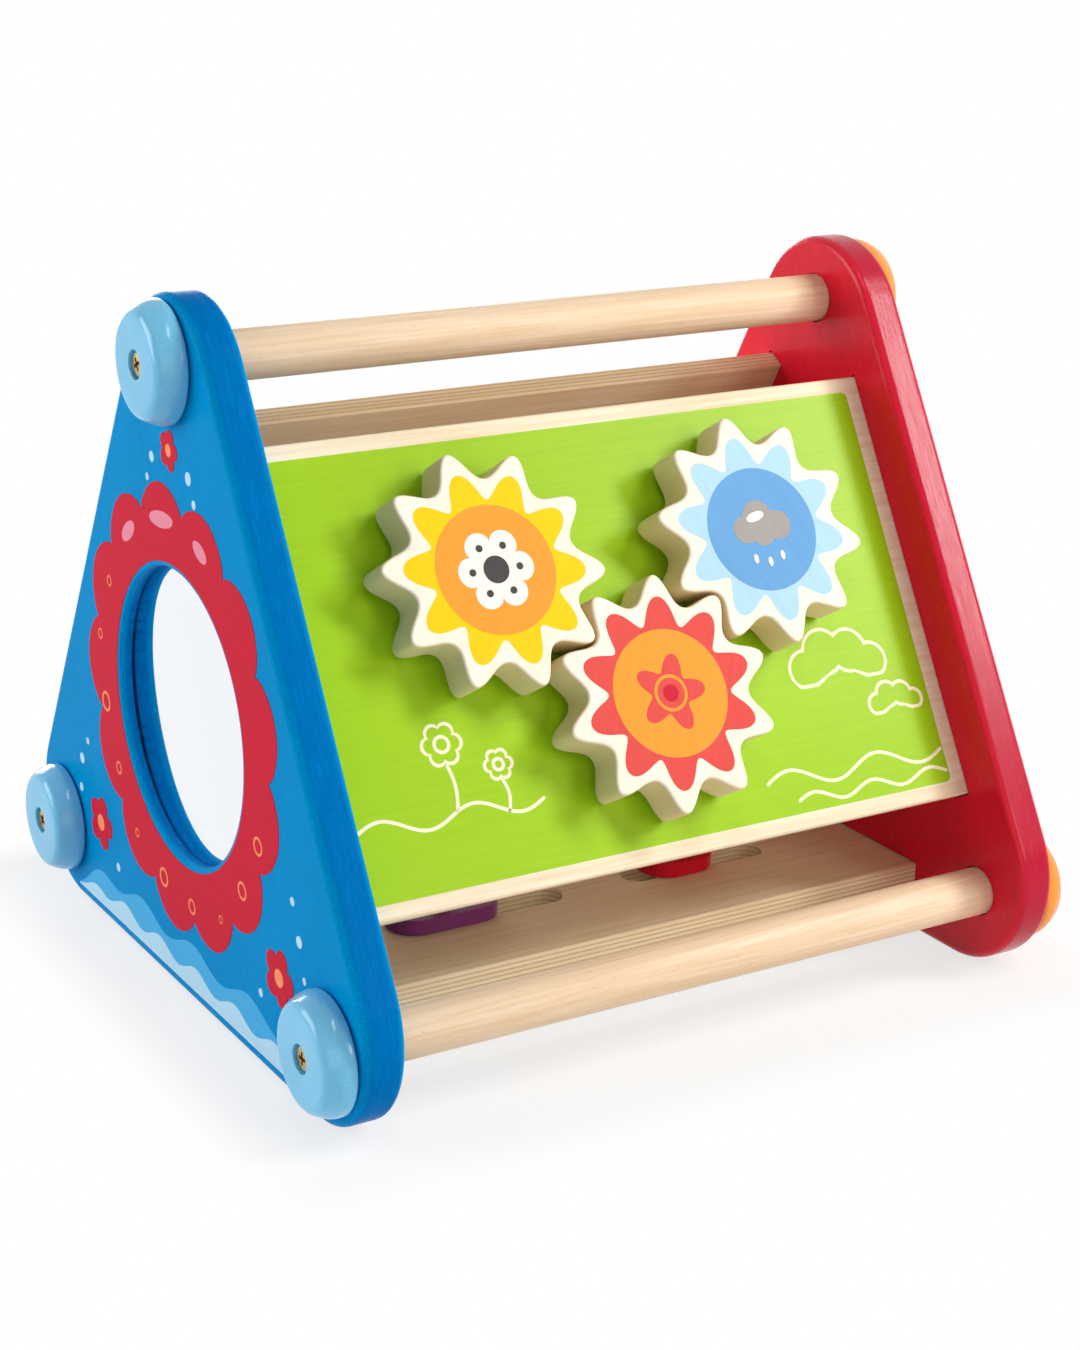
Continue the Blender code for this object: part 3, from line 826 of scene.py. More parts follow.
def open_tree(name: str, inputs: dict[str, str]) -> tuple[GeometryTree, Any]:
    """Start a geometry node tree with named inputs.

    Args:
        name: The tree's name.
        inputs: Each input's name, with its kind of socket.

    Returns:
        The tree, and the sockets that give its inputs.
    """
    tree = bpy.data.node_groups.new(name, "GeometryNodeTree")
    for label, kind in inputs.items():
        tree.interface.new_socket(label, in_out="INPUT", socket_type="NodeSocket" + kind)
    tree.interface.new_socket("Result", in_out="OUTPUT", socket_type="NodeSocketGeometry")
    return tree, add_node(tree, "NodeGroupInput").outputs


def close_tree(tree: GeometryTree, made: Socket, finish: Socket) -> None:
    """End a geometry node tree: real geometry, with its finish set."""
    real = add_node(tree, "GeometryNodeRealizeInstances", {"Geometry": made})
    dressed = add_node(tree, "GeometryNodeSetMaterial", {"Geometry": real.outputs[0], "Material": finish})
    add_node(tree, "NodeGroupOutput", {0: dressed.outputs[0]})


def wheel_tree() -> GeometryTree:
    """Node tree that makes a toothed wheel, or its print, from sizes.

    Returns:
        A tree with inputs for the teeth, the two radii, the tips' form, the thickness and the finish.
    """
    tree, given = open_tree("toothed_wheel", {
        "Teeth": "Int", "Points per tooth": "Int", "Tip radius": "Float", "Root radius": "Float",
        "Pointedness": "Float", "Thickness": "Float", "Finish": "Material",
    })
    math_node = partial(calculate, tree)
    count = math_node("MULTIPLY", given["Teeth"], given["Points per tooth"])
    index = add_node(tree, "GeometryNodeInputIndex").outputs[0]
    turn = math_node("MULTIPLY", math_node("DIVIDE", index, count), TAU)
    phase = math_node("MULTIPLY", turn, given["Teeth"])
    second = math_node("COSINE", math_node("MULTIPLY", phase, 2.0))
    ripple = math_node("MULTIPLY", second, given["Pointedness"])
    wave = math_node("ADD", math_node("COSINE", phase), ripple)
    lowest = math_node("SUBTRACT", given["Pointedness"], 1.0)
    share = math_node("DIVIDE", math_node("SUBTRACT", wave, lowest), 2.0)
    height = math_node("SUBTRACT", given["Tip radius"], given["Root radius"])
    reach = math_node("ADD", given["Root radius"], math_node("MULTIPLY", height, share))
    spot = add_node(tree, "ShaderNodeCombineXYZ", {
        0: math_node("MULTIPLY", reach, math_node("COSINE", turn)),
        1: math_node("MULTIPLY", reach, math_node("SINE", turn)),
    })
    blank = add_node(tree, "GeometryNodeMeshCircle", {"Vertices": count, "Radius": 1.0}, fill_type="NGON")
    shaped = add_node(tree, "GeometryNodeSetPosition", {
        "Geometry": blank.outputs[0], "Position": spot.outputs[0],
    })
    raised = add_node(tree, "GeometryNodeExtrudeMesh", {
        "Mesh": shaped.outputs[0], "Offset Scale": given["Thickness"], "Individual": False,
    }, mode="FACES")
    base = add_node(tree, "GeometryNodeFlipFaces", {"Mesh": shaped.outputs[0]})
    joined = add_node(tree, "GeometryNodeJoinGeometry")
    tree.links.new(raised.outputs[0], joined.inputs[0])
    tree.links.new(base.outputs[0], joined.inputs[0])
    welded = add_node(tree, "GeometryNodeMergeByDistance", {"Geometry": joined.outputs[0], "Distance": WELD})
    close_tree(tree, welded.outputs[0], given["Finish"])
    return tree


def scatter_tree() -> GeometryTree:
    """Node tree that sets a copy of one piece on each point of a mesh.

    Returns:
        A tree with inputs for the points, the piece and the finish. It reads the points' attributes
        facing, spin and size.
    """
    tree, given = open_tree("set_on_points", {"Points": "Geometry", "Piece": "Object", "Finish": "Material"})
    facing, spin, size = (
        add_node(tree, "GeometryNodeInputNamedAttribute", {"Name": name}, data_type=kind)
        for name, kind in (("facing", "FLOAT_VECTOR"), ("spin", "FLOAT"), ("size", "FLOAT")))
    aimed = add_node(tree, "FunctionNodeAlignRotationToVector", {"Vector": facing.outputs[0]}, axis="Z")
    about = add_node(tree, "FunctionNodeAxisAngleToRotation", {"Axis": (0, 0, 1), "Angle": spin.outputs[0]})
    turned_to = add_node(tree, "FunctionNodeRotateRotation", {
        0: aimed.outputs[0], 1: about.outputs[0],
    }, rotation_space="LOCAL")
    scale = add_node(tree, "ShaderNodeCombineXYZ", {0: size.outputs[0], 1: size.outputs[0], 2: 1.0})
    piece = add_node(tree, "GeometryNodeObjectInfo", {"Object": given["Piece"]}, transform_space="ORIGINAL")
    copies = add_node(tree, "GeometryNodeInstanceOnPoints", {
        "Points": given["Points"], "Instance": piece.outputs["Geometry"],
        "Rotation": turned_to.outputs[0], "Scale": scale.outputs[0],
    })
    close_tree(tree, copies.outputs[0], given["Finish"])
    return tree


def grow(name: str, tree: GeometryTree, values: dict[str, object],
         start: bpy.types.Mesh | None = None) -> Piece:
    """Run a node tree with its inputs set, and keep the result as a plain mesh.

    Args:
        name: The piece's name.
        tree: The node tree.
        values: Input name to value.
        start: The mesh that the tree starts from, if any.

    Returns:
        The piece, with no modifier left on it.
    """
    piece = mesh_object(name, start or bpy.data.meshes.new(name))
    modifier = piece.modifiers.new(name, "NODES")
    modifier.node_group = tree
    for item in tree.interface.items_tree:
        if item.in_out == "INPUT" and item.name in values:
            modifier[item.identifier] = values[item.name]
    settle(piece)
    # The primitives in a tree leave an empty first slot, so the finish is set again as the only one.
    piece.data.materials.clear()
    piece.data.materials.append(values["Finish"])
    return piece


@dataclass(frozen=True)
class Spot:
    """One place for a copied piece: where, which way its z points, its turn and its size."""

    place: Vector
    facing: Vector
    spin: float = 0.0
    size: float = 1.0


def scatter(name: str, piece: Piece, spots: Sequence[Spot], material: Material,
            tree: GeometryTree) -> Piece:
    """Set copies of a piece on spots, as one mesh, and delete the pattern piece.

    Args:
        name: The new piece's name.
        piece: The pattern piece, about the origin.
        spots: Where the copies go.
        material: Their finish.
        tree: The tree that scatter_tree made.

    Returns:
        The copies as one plain mesh.
    """
    mesh = bpy.data.meshes.new(name)
    mesh.from_pydata([spot.place for spot in spots], [], [])
    facing = mesh.attributes.new("facing", "FLOAT_VECTOR", "POINT")
    facing.data.foreach_set("vector", [c for spot in spots for c in spot.facing])
    for label in ("spin", "size"):
        attribute = mesh.attributes.new(label, "FLOAT", "POINT")
        attribute.data.foreach_set("value", [getattr(spot, label) for spot in spots])
    made = grow(name, tree, {"Piece": piece, "Finish": material}, mesh)
    bpy.data.objects.remove(piece, do_unlink=True)
    return made


def hand_over(piece: Piece, body: str, slot: str, *nodes: str) -> None:
    """Let a piece ride on its body, and hide the CAD nodes it stands for."""
    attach(piece, body)
    if nodes:
        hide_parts(*nodes)
    log.info("%s rides on %s", piece.name, body)


def lay_ink(name: str, loops: Sequence[Loop], plane: Matrix, ink: Material, layer: int,
            slot: str) -> None:
    """Lay one ink layer on a face of the frame, the higher layers over the lower ones."""
    hand_over(slab(name, loops, -INK, layer * INK, plane, ink), FRAME_BODY, slot)


@dataclass
class EndPanel:
    """One rounded-triangle end panel with its sockets, grooves and, on the left, the mirror's seat."""

    layout: Layout
    side: int
    node: str
    hue: Hue
    slot: str
    roughness: float
    gloss: float
    relief: float
    edge: Hue
    corner_inset: float = 11.5 * MM
    corner_radius: float = 31.5 * MM
    rounding: float = 2.7 * MM
    socket_depth: float = 6 * MM
    groove_depth: float = 5 * MM
    groove_corner: float = 2.3 * MM
    gap: float = 0.45 * MM
    mirror_height: float = 93 * MM
    opening: float = 46.6 * MM
    opening_ease: float = 1 * MM
    lip: float = 4.2 * MM
    ledge: float = 4 * MM

    def outline(self) -> Loop:
        """The panel's outline about the toy's middle: three arcs and straight sides."""
        reach = 2 * self.layout.inradius - self.corner_inset
        points: Loop = []
        for angle in (90, 210, 330):
            points += arc(polar(reach, angle), self.corner_radius, angle - 60, angle + 60, 40)
        return points

    def faces(self) -> tuple[float, float]:
        """Where the inner and the outer face lie along X."""
        low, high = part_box(self.node)
        return (high[0], low[0]) if self.side < 0 else (low[0], high[0])

    def sockets(self, inner: float) -> list[Piece]:
        """Cutters for the dowels' ends."""
        cutters = []
        turn = self.layout.end_plane(self.side, 0).to_3x3().to_4x4()
        for node in DOWEL_NODES:
            spot = middle(node)
            plane = Matrix.Translation((inner, spot.y, spot.z)) @ turn
            radius = self.layout.dowel_radius + self.gap
            profile = [(0, self.socket_depth), (radius, self.socket_depth), (radius, -self.socket_depth),
                       (0, -self.socket_depth)]
            cutters.append(turned(f"{self.node}_socket_{node}", profile, plane, None, 64))
        return cutters

    def grooves(self, inner: float) -> list[Piece]:
        """Cutters for the ends of the three boards."""
        cutters = []
        width = BOARD_WIDTH + 2 * self.gap
        outer = self.layout.stand_out + self.gap
        low = outer - self.layout.board_thickness - 2 * self.gap
        for tilt in TILTS.values():
            plane = self.layout.board_plane(tilt, 0) @ Matrix.Translation((inner, 0, 0))
            loop = rounded_rectangle(2 * self.groove_depth, width, self.groove_corner)
            cutters.append(slab(f"{self.node}_groove_{tilt}", [loop], low, outer, plane, None))
        return cutters

    def mirror_seat(self, outer: float) -> list[Piece]:
        """Cutters for the mirror's opening, with an eased edge, and for the seat behind it."""
        low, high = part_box(self.node)
        thickness = high[0] - low[0]
        plane = self.layout.end_plane_at(self.side, outer, 0, self.mirror_height)
        ease = self.opening_ease
        turns = [math.radians(90 * k / 6) for k in range(7)]
        flare = [(self.opening + ease - ease * math.sin(a), ease * math.cos(a) - ease) for a in turns]
        profile = [(0, ease), (self.opening + ease, ease), *flare, (self.opening, -2 * thickness),
                   (0, -2 * thickness)]
        seat = self.opening + self.ledge
        hollow = [(0, -self.lip), (seat, -self.lip), (seat, -2 * thickness), (0, -2 * thickness)]
        return [turned("mirror_opening_cutter", profile, plane, None, 128),
                turned("mirror_seat_cutter", hollow, plane, None, 128)]

    def build(self) -> Piece:
        """Make the panel in place of its CAD solid.

        Returns:
            The finished panel.
        """
        inner, outer = self.faces()
        plane = self.layout.end_plane(self.side, outer)
        grain = plane @ Matrix.Rotation(math.radians(90), 4, "Z")
        thickness = abs(outer - inner)
        finish = Lacquer(f"{self.slot}_on_{self.node}", self.hue, grain, self.roughness, self.relief,
                         self.gloss, thickness, self.edge)
        panel = slab(self.node + "_shell", [self.outline()], -thickness, 0, plane, shelf.take(finish))
        soften(panel, self.rounding, 5)
        cutters = self.sockets(inner) + self.grooves(inner)
        if self.side < 0:
            cutters += self.mirror_seat(outer)
        carve(panel, cutters)
        flatten_faces(panel)
        hand_over(panel, FRAME_BODY, self.slot, self.node)
        return panel


@dataclass
class EndPrint:
    """The printed decoration round the mirror: a scalloped flower, waves and rising dots."""

    layout: Layout
    panel: EndPanel
    petals: int = 13
    flower_reach: float = 72.5 * MM
    petal_depth: float = 8 * MM
    petal_middle: float = 61 * MM
    border: float = 1.6 * MM
    ink_gloss: float = 0.03
    band_half: float = 92 * MM
    band_fade: float = 34 * MM
    band_overlap: float = 0.6 * MM

    def flower_radius(self, angle: float) -> float:
        """The flower's edge: round petals with sharp valleys between them."""
        return self.flower_reach - self.petal_depth * (1 - abs(math.sin(self.petals * angle / 2)) ** 0.7)

    def wave_band(self, base: float, height: float, length: float, shift: float, bottom: float) -> Loop:
        """A band with a wavy upper edge, kept inside the panel's straight lower part."""
        half, count = self.band_half, 110
        crest = []
        for i in range(count + 1):
            x = -half + 2 * half * i / count
            fade = math.sin(math.pi / 2 * min(1.0, (half - abs(x)) / self.band_fade))
            rise = (base + height * math.sin(TAU * (x + shift) / length)) * fade
            crest.append((x, bottom + rise + self.band_overlap))
        return [(-half, bottom), (half, bottom), *crest[::-1]]

    def build(self, tree: GeometryTree) -> None:
        """Print the decoration on the left panel's outer face.

        Args:
            tree: The tree that scatter_tree made, for the dots and rings.
        """
        _, outer = self.panel.faces()
        plane = self.layout.end_plane(-1, outer)
        up = self.panel.mirror_height - self.layout.centre.z
        floor = -self.layout.centre.z + 4.2 * MM
        far = self.wave_band(12.5 * MM, 2.6 * MM, 41 * MM, 5 * MM, floor)
        near = self.wave_band(5.5 * MM, 2.0 * MM, 29 * MM, 0, floor)
        self.lay("print_far_wave", [far], Hue.MOTIF_SKY, 1, plane)
        self.lay("print_near_wave", [near], Hue.MOTIF_PALE, 2, plane)
        opening = disc((0, up), self.panel.opening + self.border, 128)
        petals = [(x, y + up) for x, y in polar_loop(self.flower_radius, self.petals * 24)]
        self.lay("print_flower", [petals, opening], Hue.MOTIF_RED, 3, plane)
        for index, (angle, length) in enumerate(((124, 6 * MM), (97, 9 * MM), (70, 5 * MM)), 1):
            loop = oval(polar(self.petal_middle, angle, (0, up)), (length, 2.6 * MM), angle + 90)
            self.lay(f"print_petal_gloss_{index}", [loop], Hue.MOTIF_PINK, 4, plane)
        for index, (x, y, size) in enumerate(((0, 91.5, 6.5), (-69, -50, 9.5), (69, -50, 9.5)), 1):
            head = polar_loop(lambda a: size * (0.66 + 0.34 * abs(math.cos(2.5 * a)) ** 0.7) * MM, 120,
                              (x * MM, y * MM))
            self.lay(f"print_blossom_{index}", [head], Hue.MOTIF_RED, 3, plane)
            eye = disc((x * MM, y * MM), 0.3 * size * MM, 32)
            self.lay(f"print_blossom_eye_{index}", [eye], Hue.MOTIF_RING, 4, plane)
        self.scatter_marks(plane, up, tree)

    def lay(self, name: str, loops: Sequence[Loop], hue: Hue, layer: int, plane: Matrix) -> None:
        """Lay one ink layer on the panel."""
        finish = ScreenPrint(f"ink_{hue.name.lower()}", hue, plane, gloss=self.ink_gloss)
        lay_ink(name, loops, plane, shelf.take(finish), layer, "blue_lacquer")

    def scatter_marks(self, plane: Matrix, up: float, tree: GeometryTree) -> None:
        """Set the orange rings on the petals and the pale dots in the free corners."""
        outward = plane.to_3x3() @ Vector((0, 0, 1))
        rings = []
        for i in range(150, 340, 21):
            reach = self.petal_middle + 1.5 * MM * math.sin(i)
            spot = plane @ Vector((*polar(reach, i, (0, up)), 0))
            rings.append(Spot(spot, outward, size=0.8 + 0.35 * math.sin(2.3 * i)))
        dots = [Spot(plane @ Vector((x * MM, y * MM, 0)), outward, size=size) for x, y, size in (
            (-13, 87, 1.0), (-17, 80, 0.7), (14, 86, 1.2), (17.5, 79, 0.8), (83, -33, 1.1),
            (-84, -32, 1.1), (79, -22, 0.8), (-78, -24, 0.7), (86, -44, 0.7), (-86, -43, 0.9),
            (56, -60, 0.8), (-55, -61, 0.9))]
        marks = (
            ("print_petal_rings", rings, ring((0, 0), 2.6 * MM, 0.8 * MM), 4,
             ScreenPrint("ink_ring", Hue.MOTIF_RING, plane, gloss=self.ink_gloss)),
            ("print_dots", dots, [disc((0, 0), 1.7 * MM, 32)], 3,
             ScreenPrint("ink_motif_pale", Hue.MOTIF_PALE, plane)),
        )
        for name, spots, loops, layer, finish in marks:
            pattern = slab(f"{name}_pattern", loops, 0, layer * INK, Matrix.Identity(4), None)
            hand_over(scatter(name, pattern, spots, shelf.take(finish), tree), FRAME_BODY, "blue_lacquer")


@dataclass
class Mirror:
    """The acrylic mirror pane in its seat."""

    layout: Layout
    edge: float = 0.5 * MM

    def build(self) -> None:
        """Make the pane in place of its CAD solid, with a fine ground edge."""
        low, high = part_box("mirror_pane")
        spot = middle("mirror_pane")
        radius, thickness = (high[2] - low[2]) / 2, high[0] - low[0]
        plane = self.layout.end_plane_at(-1, low[0], spot.y, spot.z)
        profile = rounded_profile([(0, 0, 0), (radius, 0, self.edge), (radius, -thickness, self.edge),
                                   (0, -thickness, 0)], 3)
        pane = turned("mirror_pane_sheet", profile, plane, shelf.take(AcrylicMirror()), 128)
        hand_over(pane, FRAME_BODY, "mirror", "mirror_pane")


@dataclass
class Dowels:
    """The three turned dowels, the top one being the carry handle."""

    chamfer: float = 0.8 * MM

    def build(self) -> None:
        """Make the dowels in place of their CAD solids, each with its own cut of wood."""
        for index, node in enumerate(DOWEL_NODES):
            low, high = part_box(node)
            spot = middle(node)
            radius, half = (high[2] - low[2]) / 2, (high[0] - low[0]) / 2
            plane = Matrix.Translation(spot) @ Matrix.Rotation(math.radians(90), 4, "Y")
            grain = Matrix.Translation((0.31 * index, spot.y + 0.07 * index, spot.z)) @ Matrix.Rotation(
                0.012 * (index + 1), 4, "Z")
            wood = BareWood(f"beech_{node}", "F5DEC4", "E6C6A0", grain, 60 * MM, 1.1 * MM, 0.5, 0.42)
            profile = rounded_profile([(0, half, 0), (radius, half, self.chamfer),
                                       (radius, -half, self.chamfer), (0, -half, 0)], 3)
            rod = turned(f"{node}_rod", profile, plane, shelf.take(wood), 72)
            hand_over(rod, FRAME_BODY, "beech_dowel", node)


@dataclass
class EndCaps:
    """The six turned caps over the dowels' ends, with their countersunk screws."""

    layout: Layout
    rim_width: float = 2.9 * MM
    rim_height: float = 5.6 * MM
    rim_rounding: float = 9 * MM
    face_rounding: float = 3.4 * MM
    back: float = 1.2 * MM
    bore_radius: float = 4.4 * MM
    bore_depth: float = 3.2 * MM
    bore_lip: float = 0.3 * MM
    head_radius: float = 3.9 * MM
    head_cone: float = 2.1 * MM
    recess_width: float = 1.15 * MM
    recess_reach: float = 2.1 * MM
    recess_depth: float = 1.5 * MM

    def cap(self, node: str, side: int, hue: Hue, slot: str) -> None:
        """Make one cap in place of its CAD solid."""
        low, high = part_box(node)
        spot = middle(node)
        radius, thickness = (high[2] - low[2]) / 2, high[0] - low[0]
        back = low[0] if side > 0 else high[0]
        plane = self.layout.end_plane_at(side, back, spot.y, spot.z)
        floor = thickness - self.bore_depth
        profile = rounded_profile([
            (0, floor, 0), (self.bore_radius, floor, 0), (self.bore_radius, thickness, self.bore_lip),
            (radius - self.rim_width, thickness, self.face_rounding),
            (radius, thickness - self.rim_height, self.rim_rounding), (radius, 0, self.back), (0, 0, 0),
        ], 8)
        finish = Lacquer(f"{slot}_turned", hue, Matrix.Identity(4), 0.14, 0.05, 0.4, painted_glint_share=0)
        cap = turned(f"{node}_turning", profile, plane, shelf.take(finish), 96)
        hand_over(cap, FRAME_BODY, slot, node)

    def screw_head(self) -> Piece:
        """A countersunk head about the origin, its top at z = 0, with a cross recess."""
        profile = rounded_profile([
            (0, 0, 0), (self.head_radius, 0, 0.25 * MM),
            (self.head_radius - self.head_cone, -self.head_cone, 0), (0, -self.head_cone, 0),
        ], 3)
        head = turned("screw_head", profile, Matrix.Identity(4), None, 48)
        cutters = []
        for index in range(2):
            turn = Matrix.Rotation(math.radians(90 * index), 4, "Z")
            loop = rounded_rectangle(2 * self.recess_reach, self.recess_width, 0.4 * MM, 4)
            cutters.append(slab(f"recess_{index}", [loop], -self.recess_depth, self.recess_depth, turn, None))
        carve(head, cutters)
        smooth(head, 40)
        return head

    def build(self, tree: GeometryTree) -> None:
        """Make the caps and set the six screw heads.

        Args:
            tree: The tree that scatter_tree made.
        """
        ends = (("left", -1, Hue.CAP_BLUE, "light_blue_lacquer"),
                ("right", 1, Hue.CAP_ORANGE, "orange_lacquer"))
        spots, nodes = [], []
        for index, (end, side, hue, slot) in enumerate(ends):
            for turn, corner in enumerate(("top", "front", "rear")):
                self.cap(f"{end}_{corner}_cap", side, hue, slot)
                node = f"{end}_{corner}_screw"
                low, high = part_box(node)
                place = middle(node)
                place.x = low[0] if side < 0 else high[0]
                spots.append(Spot(place, Vector((side, 0, 0)), 0.5 + 1.1 * turn + index))
                nodes.append(node)
        heads = scatter("cap_screw_heads", self.screw_head(), spots, shelf.take(PlatedSteel()), tree)
        smooth(heads, 40)
        hand_over(heads, FRAME_BODY, "screw_metal", *nodes)


@dataclass
class Boards:
    """The three plywood boards, and the printed fields on the front and the rear one."""

    layout: Layout
    margin: float = 5 * MM
    field_corner: float = 2 * MM
    line: float = 1.1 * MM
    axle_hole: float = 6.3 * MM
    visible_length: float = 220 * MM

    def wood(self) -> None:
        """Give the CAD boards and the mirror's backing plate their plywood."""
        # The rear and bottom boards are the same plywood as the gear board. Their warmer tones are painted
        # light, the warm bounce inside the toy.
        tones_with_painted_warmth = {"gear_board": ("F8ECD4", "EBD5AF"), "bottom_board": ("FBEAC8", "EFD2A4"),
                 "rear_board": ("FDEAC8", "F4D4A6")}
        thickness = self.layout.board_thickness
        for node, (light, dark) in tones_with_painted_warmth.items():
            plane = self.layout.board_plane(TILTS[node], self.layout.stand_out - thickness / 2)
            dress(node, shelf.take(Plywood(f"plywood_{node}", plane, thickness, light=light, dark=dark)))
        plate = self.layout.end_plane(-1, middle("mirror_backing_plate").x)
        dress("mirror_backing_plate", shelf.take(Plywood("plywood_backing", plate, 5.2 * MM, 3)))

    def field(self) -> Loop:
        """The printed field's outline, inside a bare margin."""
        return rounded_rectangle(self.visible_length - 2 * self.margin, BOARD_WIDTH - 2 * self.margin,
                                 self.field_corner)

    def hill(self, left: float, right: float, base: float, height: float, length: float) -> Loop:
        """The middle of a long rolling line, from sizes in millimetres."""
        count = int((right - left) / 1.5)
        run = [(right - left) * i / count for i in range(count + 1)]
        return [((left + x) * MM, (base + height * math.sin(TAU * x / length)) * MM) for x in run]

    def cloud(self, centre: Point, size: float) -> list[Loop]:
        """An outline cloud of four bumps on a flat base, as an edge and a hole."""
        bumps = ((-1.5, 0.0, 0.72), (-0.6, 0.55, 0.85), (0.55, 0.45, 0.8), (1.45, -0.05, 0.66))
        loops = []
        for grow_by in (self.line / 2, -self.line / 2):
            hubs = [(x * size, y * size, radius * size + grow_by) for x, y, radius in bumps]
            edge = bumpy_loop(hubs, floor=-(0.62 * size + grow_by))
            loops.append([(centre[0] + x, centre[1] + y) for x, y in edge])
        return loops

    def flower(self, foot: Point, height: float, size: float) -> list[list[Loop]]:
        """An outline flower: a stem, two leaves and a scalloped head with a round middle."""
        head = (foot[0], foot[1] + height)
        stem = [(foot[0] + 1.2 * MM * math.sin(3 * t), foot[1] + (height - size) * t)
                for t in (i / 14 for i in range(15))]
        petals = [polar_loop(lambda a: size * (0.76 + 0.24 * abs(math.cos(3 * a)) ** 0.7) + grow_by, 96, head)
                  for grow_by in (self.line / 2, -self.line / 2)]
        return [[brush_line(stem, self.line)], petals, ring(head, size * 0.36, self.line)]

    def front_field(self) -> None:
        """Print the green field with its cream line drawing on the gear board."""
        plane = self.layout.board_plane(TILTS["gear_board"], self.layout.stand_out)
        green = shelf.take(ScreenPrint("ink_green", Hue.GREEN, plane, 0.3, 0.12))
        spots = [plane.inverted() @ axle_place(colour) for colour in GEAR_COLOURS]
        holes = [disc((spot.x, spot.y), self.axle_hole, 32) for spot in spots]
        lay_ink("print_green_field", [self.field(), *holes], plane, green, 1, "gear_board_face")
        cream = shelf.take(ScreenPrint("ink_cream", Hue.CREAM, plane))
        left = self.hill(-104, -42, -45, 2.6, 31)
        drawing = {
            "left_hills": [brush_line(left, self.line)],
            "right_hills": [brush_line(self.hill(36, 104, -55, 3.0, 34), self.line)],
            "low_hills": [brush_line(self.hill(46, 104, -62, 1.8, 23), self.line)],
            "cloud": self.cloud((74 * MM, -22 * MM), 8.6 * MM),
            "small_cloud": self.cloud((92 * MM, -37 * MM), 4.8 * MM),
        }
        for name, loops in drawing.items():
            lay_ink(f"print_front_{name}", loops, plane, cream, 2, "gear_board_face")
        for index, (line, step, height, size) in enumerate(((left, 22, 20, 6.5), (left, 33, 14, 4.6)), 1):
            for part, loops in enumerate(self.flower(line[step], height * MM, size * MM), 1):
                lay_ink(f"print_front_flower_{index}_{part}", loops, plane, cream, 2, "gear_board_face")

    def rear_field(self) -> None:
        """Print the rear board's outer face with a plain field and simple outline shapes."""
        plane = self.layout.board_plane(TILTS["rear_board"], self.layout.stand_out)
        ink = shelf.take(ScreenPrint("ink_sun_yellow", Hue.SUN_YELLOW, plane))
        lay_ink("print_rear_field", [self.field()], plane, ink, 1, "rear_board_face")
        cream = shelf.take(ScreenPrint("ink_cream_rear", Hue.CREAM, plane))
        shapes = [ring((x * MM, y * MM), r * MM, self.line, 64)
                  for x, y, r in ((-62, 18, 22), (0, -10, 28), (64, 20, 20), (-40, -34, 12), (44, -38, 14))]
        for index, loops in enumerate(shapes, 1):
            lay_ink(f"print_rear_ring_{index}", loops, plane, cream, 2, "rear_board_face")


